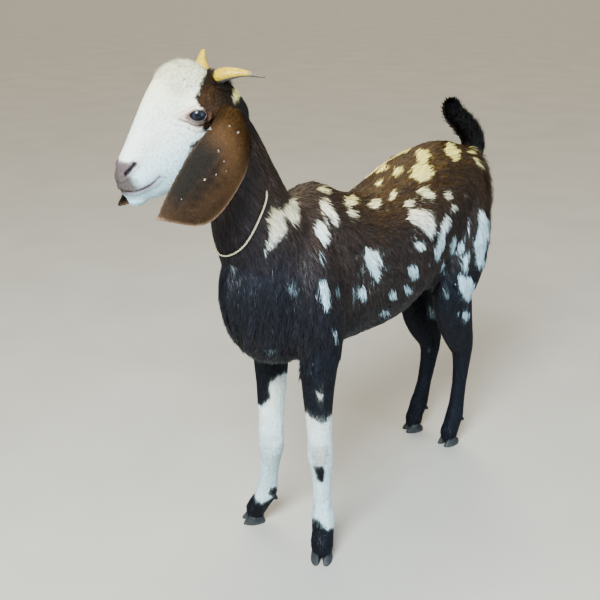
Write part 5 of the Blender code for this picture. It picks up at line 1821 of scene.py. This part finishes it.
def horn_material():
    """Amber horn with fine rings, grey along its lower edge and dark at the tip."""
    made, tree, shader = new_material("horn_amber")
    own = attribute_node(tree, "sheath")
    split = split_node(tree, own, "Vector")
    streak = noise_node(tree, 160.0, 4.0, (1.0, 1.0, 2.5))
    edge = math_node(tree, "ADD", math_node(tree, "MULTIPLY", split["Y"], -1.0),
                     math_node(tree, "MULTIPLY", streak.outputs["Fac"], 0.5))
    low = ramped(tree, edge, (0.36, 0), (0.60, 1))
    tip = ramped(tree, split["Z"], (0.72, 0), (0.84, 1))
    amber = ramped(tree, streak.outputs["Fac"], (0.3, (0.30, 0.165, 0.004)), (0.55, (0.42, 0.27, 0.006)),
                   (0.75, (0.52, 0.38, 0.025)))
    body = mixed(tree, low, amber, (0.105, 0.100, 0.092))
    surface(tree, shader, mixed(tree, tip, body, (0.075, 0.062, 0.05)), 0.42, 0.3)
    relief_of(tree, shader, wave_node(tree, own, "Vector", 7.0, 1.2), 0.30, 0.0006)
    return made


def hoof_material():
    """Grey hoof, paler and dusty towards the floor, with level growth rings."""
    made, tree, shader = new_material("hoof_grey")
    coordinates = tree.nodes.new("ShaderNodeTexCoord")
    height = math_node(tree, "MULTIPLY", split_node(tree, coordinates, "Object")["Z"], 28.0)
    rise = ramped(tree, height, (0.0, (0.034, 0.037, 0.040)), (0.35, (0.017, 0.020, 0.025)),
                  (1.0, (0.008, 0.010, 0.013)))
    dust = noise_node(tree, 140.0, 5.0)
    tone = ramped(tree, dust.outputs["Fac"], (0.35, 0.70), (0.70, (1.35, 1.30, 1.2)))
    surface(tree, shader, mixed(tree, 1.0, rise, tone, "MULTIPLY"), 0.55, 0.2)
    relief_of(tree, shader, wave_node(tree, coordinates, "Object", 55.0, 2.0), 0.4, 0.0006)
    return made


def string_material():
    made, tree, shader = new_material("straw_string")
    fibre = noise_node(tree, 700.0, 4.0)
    tone = ramped(tree, fibre.outputs["Fac"], (0.3, (0.30, 0.24, 0.14)), (0.55, (0.52, 0.45, 0.31)),
                  (0.75, (0.70, 0.63, 0.48)))
    surface(tree, shader, tone, 0.8)
    relief_of(tree, shader, fibre, 0.5, 0.0003)
    return made


def floor_material():
    made, tree, shader = new_material("pale_floor")
    wide = noise_node(tree, 3.0, 6.0)
    tone = ramped(tree, wide.outputs["Fac"], (0.3, (0.33, 0.32, 0.305)), (0.7, (0.37, 0.36, 0.345)))
    surface(tree, shader, tone, 0.75)
    return made


def dress(piece, paint):
    piece.data.materials.clear()
    piece.data.materials.append(paint)


hide = hide_material()
glossy = hair_material("coat_hair", 0.40, 0.15)
soft = hair_material("face_hair", 0.62, 0.18)
dull = hair_material("ear_hair", 0.75, 0.03)
wet_eye, amber, hoof, straw = eye_material(), horn_material(), hoof_material(), string_material()

dress(skin, hide)
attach(skin, "root")
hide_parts(*FLESH)
for piece in coat:
    dress(piece, soft if "head" in piece.name else dull if "ears" in piece.name else glossy)
    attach(piece, "root")
for side in ("left", "right"):
    ball = eyeball(side)
    dress(ball, wet_eye)
    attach(ball, "root")
    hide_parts("eye_" + side)
    rim = lids(side)
    dress(rim, hide)
    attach(rim, "root")
    for piece in lashes(side):
        dress(piece, soft)
        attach(piece, "root")
    sheath = horn(side)
    dress(sheath, amber)
    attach(sheath, "root")
    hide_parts("horn_" + side)
string = twisted_string()
dress(string, straw)
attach(string, "root")
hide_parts("collar")
for name, piece in nodes.items():
    if "claw" in name:
        piece.data.materials.clear()
        piece.data.materials.append(hoof)
        edge = piece.modifiers.new("edge", "BEVEL")
        edge.width = 0.0012
        edge.segments = 2
        edge.limit_method = "ANGLE"


# Floor, light and camera

def floor_plane():
    made = mesh_object("floor", [(-60, -60, 0), (60, -60, 0), (60, 60, 0), (-60, 60, 0)], [(0, 1, 2, 3)])
    made.data.materials.append(floor_material())


def add_lamp(name, lamp, place, aim, power, colour):
    lamp.energy = power
    lamp.color = colour
    made = added(name, lamp)
    made.location = place
    made.rotation_euler = (Vector(aim) - Vector(place)).to_track_quat("-Z", "Y").to_euler()


def area_light(name, place, aim, size, power, colour):
    lamp = bpy.data.lights.new(name, "AREA")
    lamp.shape = "DISK"
    lamp.size = size
    add_lamp(name, lamp, place, aim, power, colour)


def sun_light():
    """Broad warm light from above and behind, which also keeps the floor even."""
    lamp = bpy.data.lights.new("sun", "SUN")
    lamp.angle = math.radians(40)
    add_lamp("sun", lamp, (-0.8, 1.1, 2.4), (0, 0, 0), 3.4, (1.0, 0.83, 0.52))


def photo_camera():
    lens = bpy.data.cameras.new("camera")
    lens.sensor_width = 36
    lens.lens = 36 * FOCAL / PICTURE
    lens.clip_start = 0.01
    lens.clip_end = 200
    made = added("camera", lens)
    turn = Matrix((VIEW_RIGHT, VIEW_UP, VIEW_BACK)).transposed().to_4x4()
    made.matrix_world = Matrix.Translation(Vector(EYE_POINT)) @ turn
    bpy.context.scene.camera = made


floor_plane()
area_light("key", (0.9, -2.3, 2.7), (0, -0.1, 0.6), 1.6, 420, (0.90, 1.0, 0.98))
area_light("side", (2.9, 0.2, 1.0), (0, 0, 0.5), 1.8, 60, (0.52, 0.77, 1.0))
sun_light()
world = bpy.data.worlds.new("studio")
world.use_nodes = True
world.node_tree.nodes["Background"].inputs["Color"].default_value = (0.74, 0.82, 0.92, 1)
world.node_tree.nodes["Background"].inputs["Strength"].default_value = 0.40
bpy.context.scene.world = world
photo_camera()
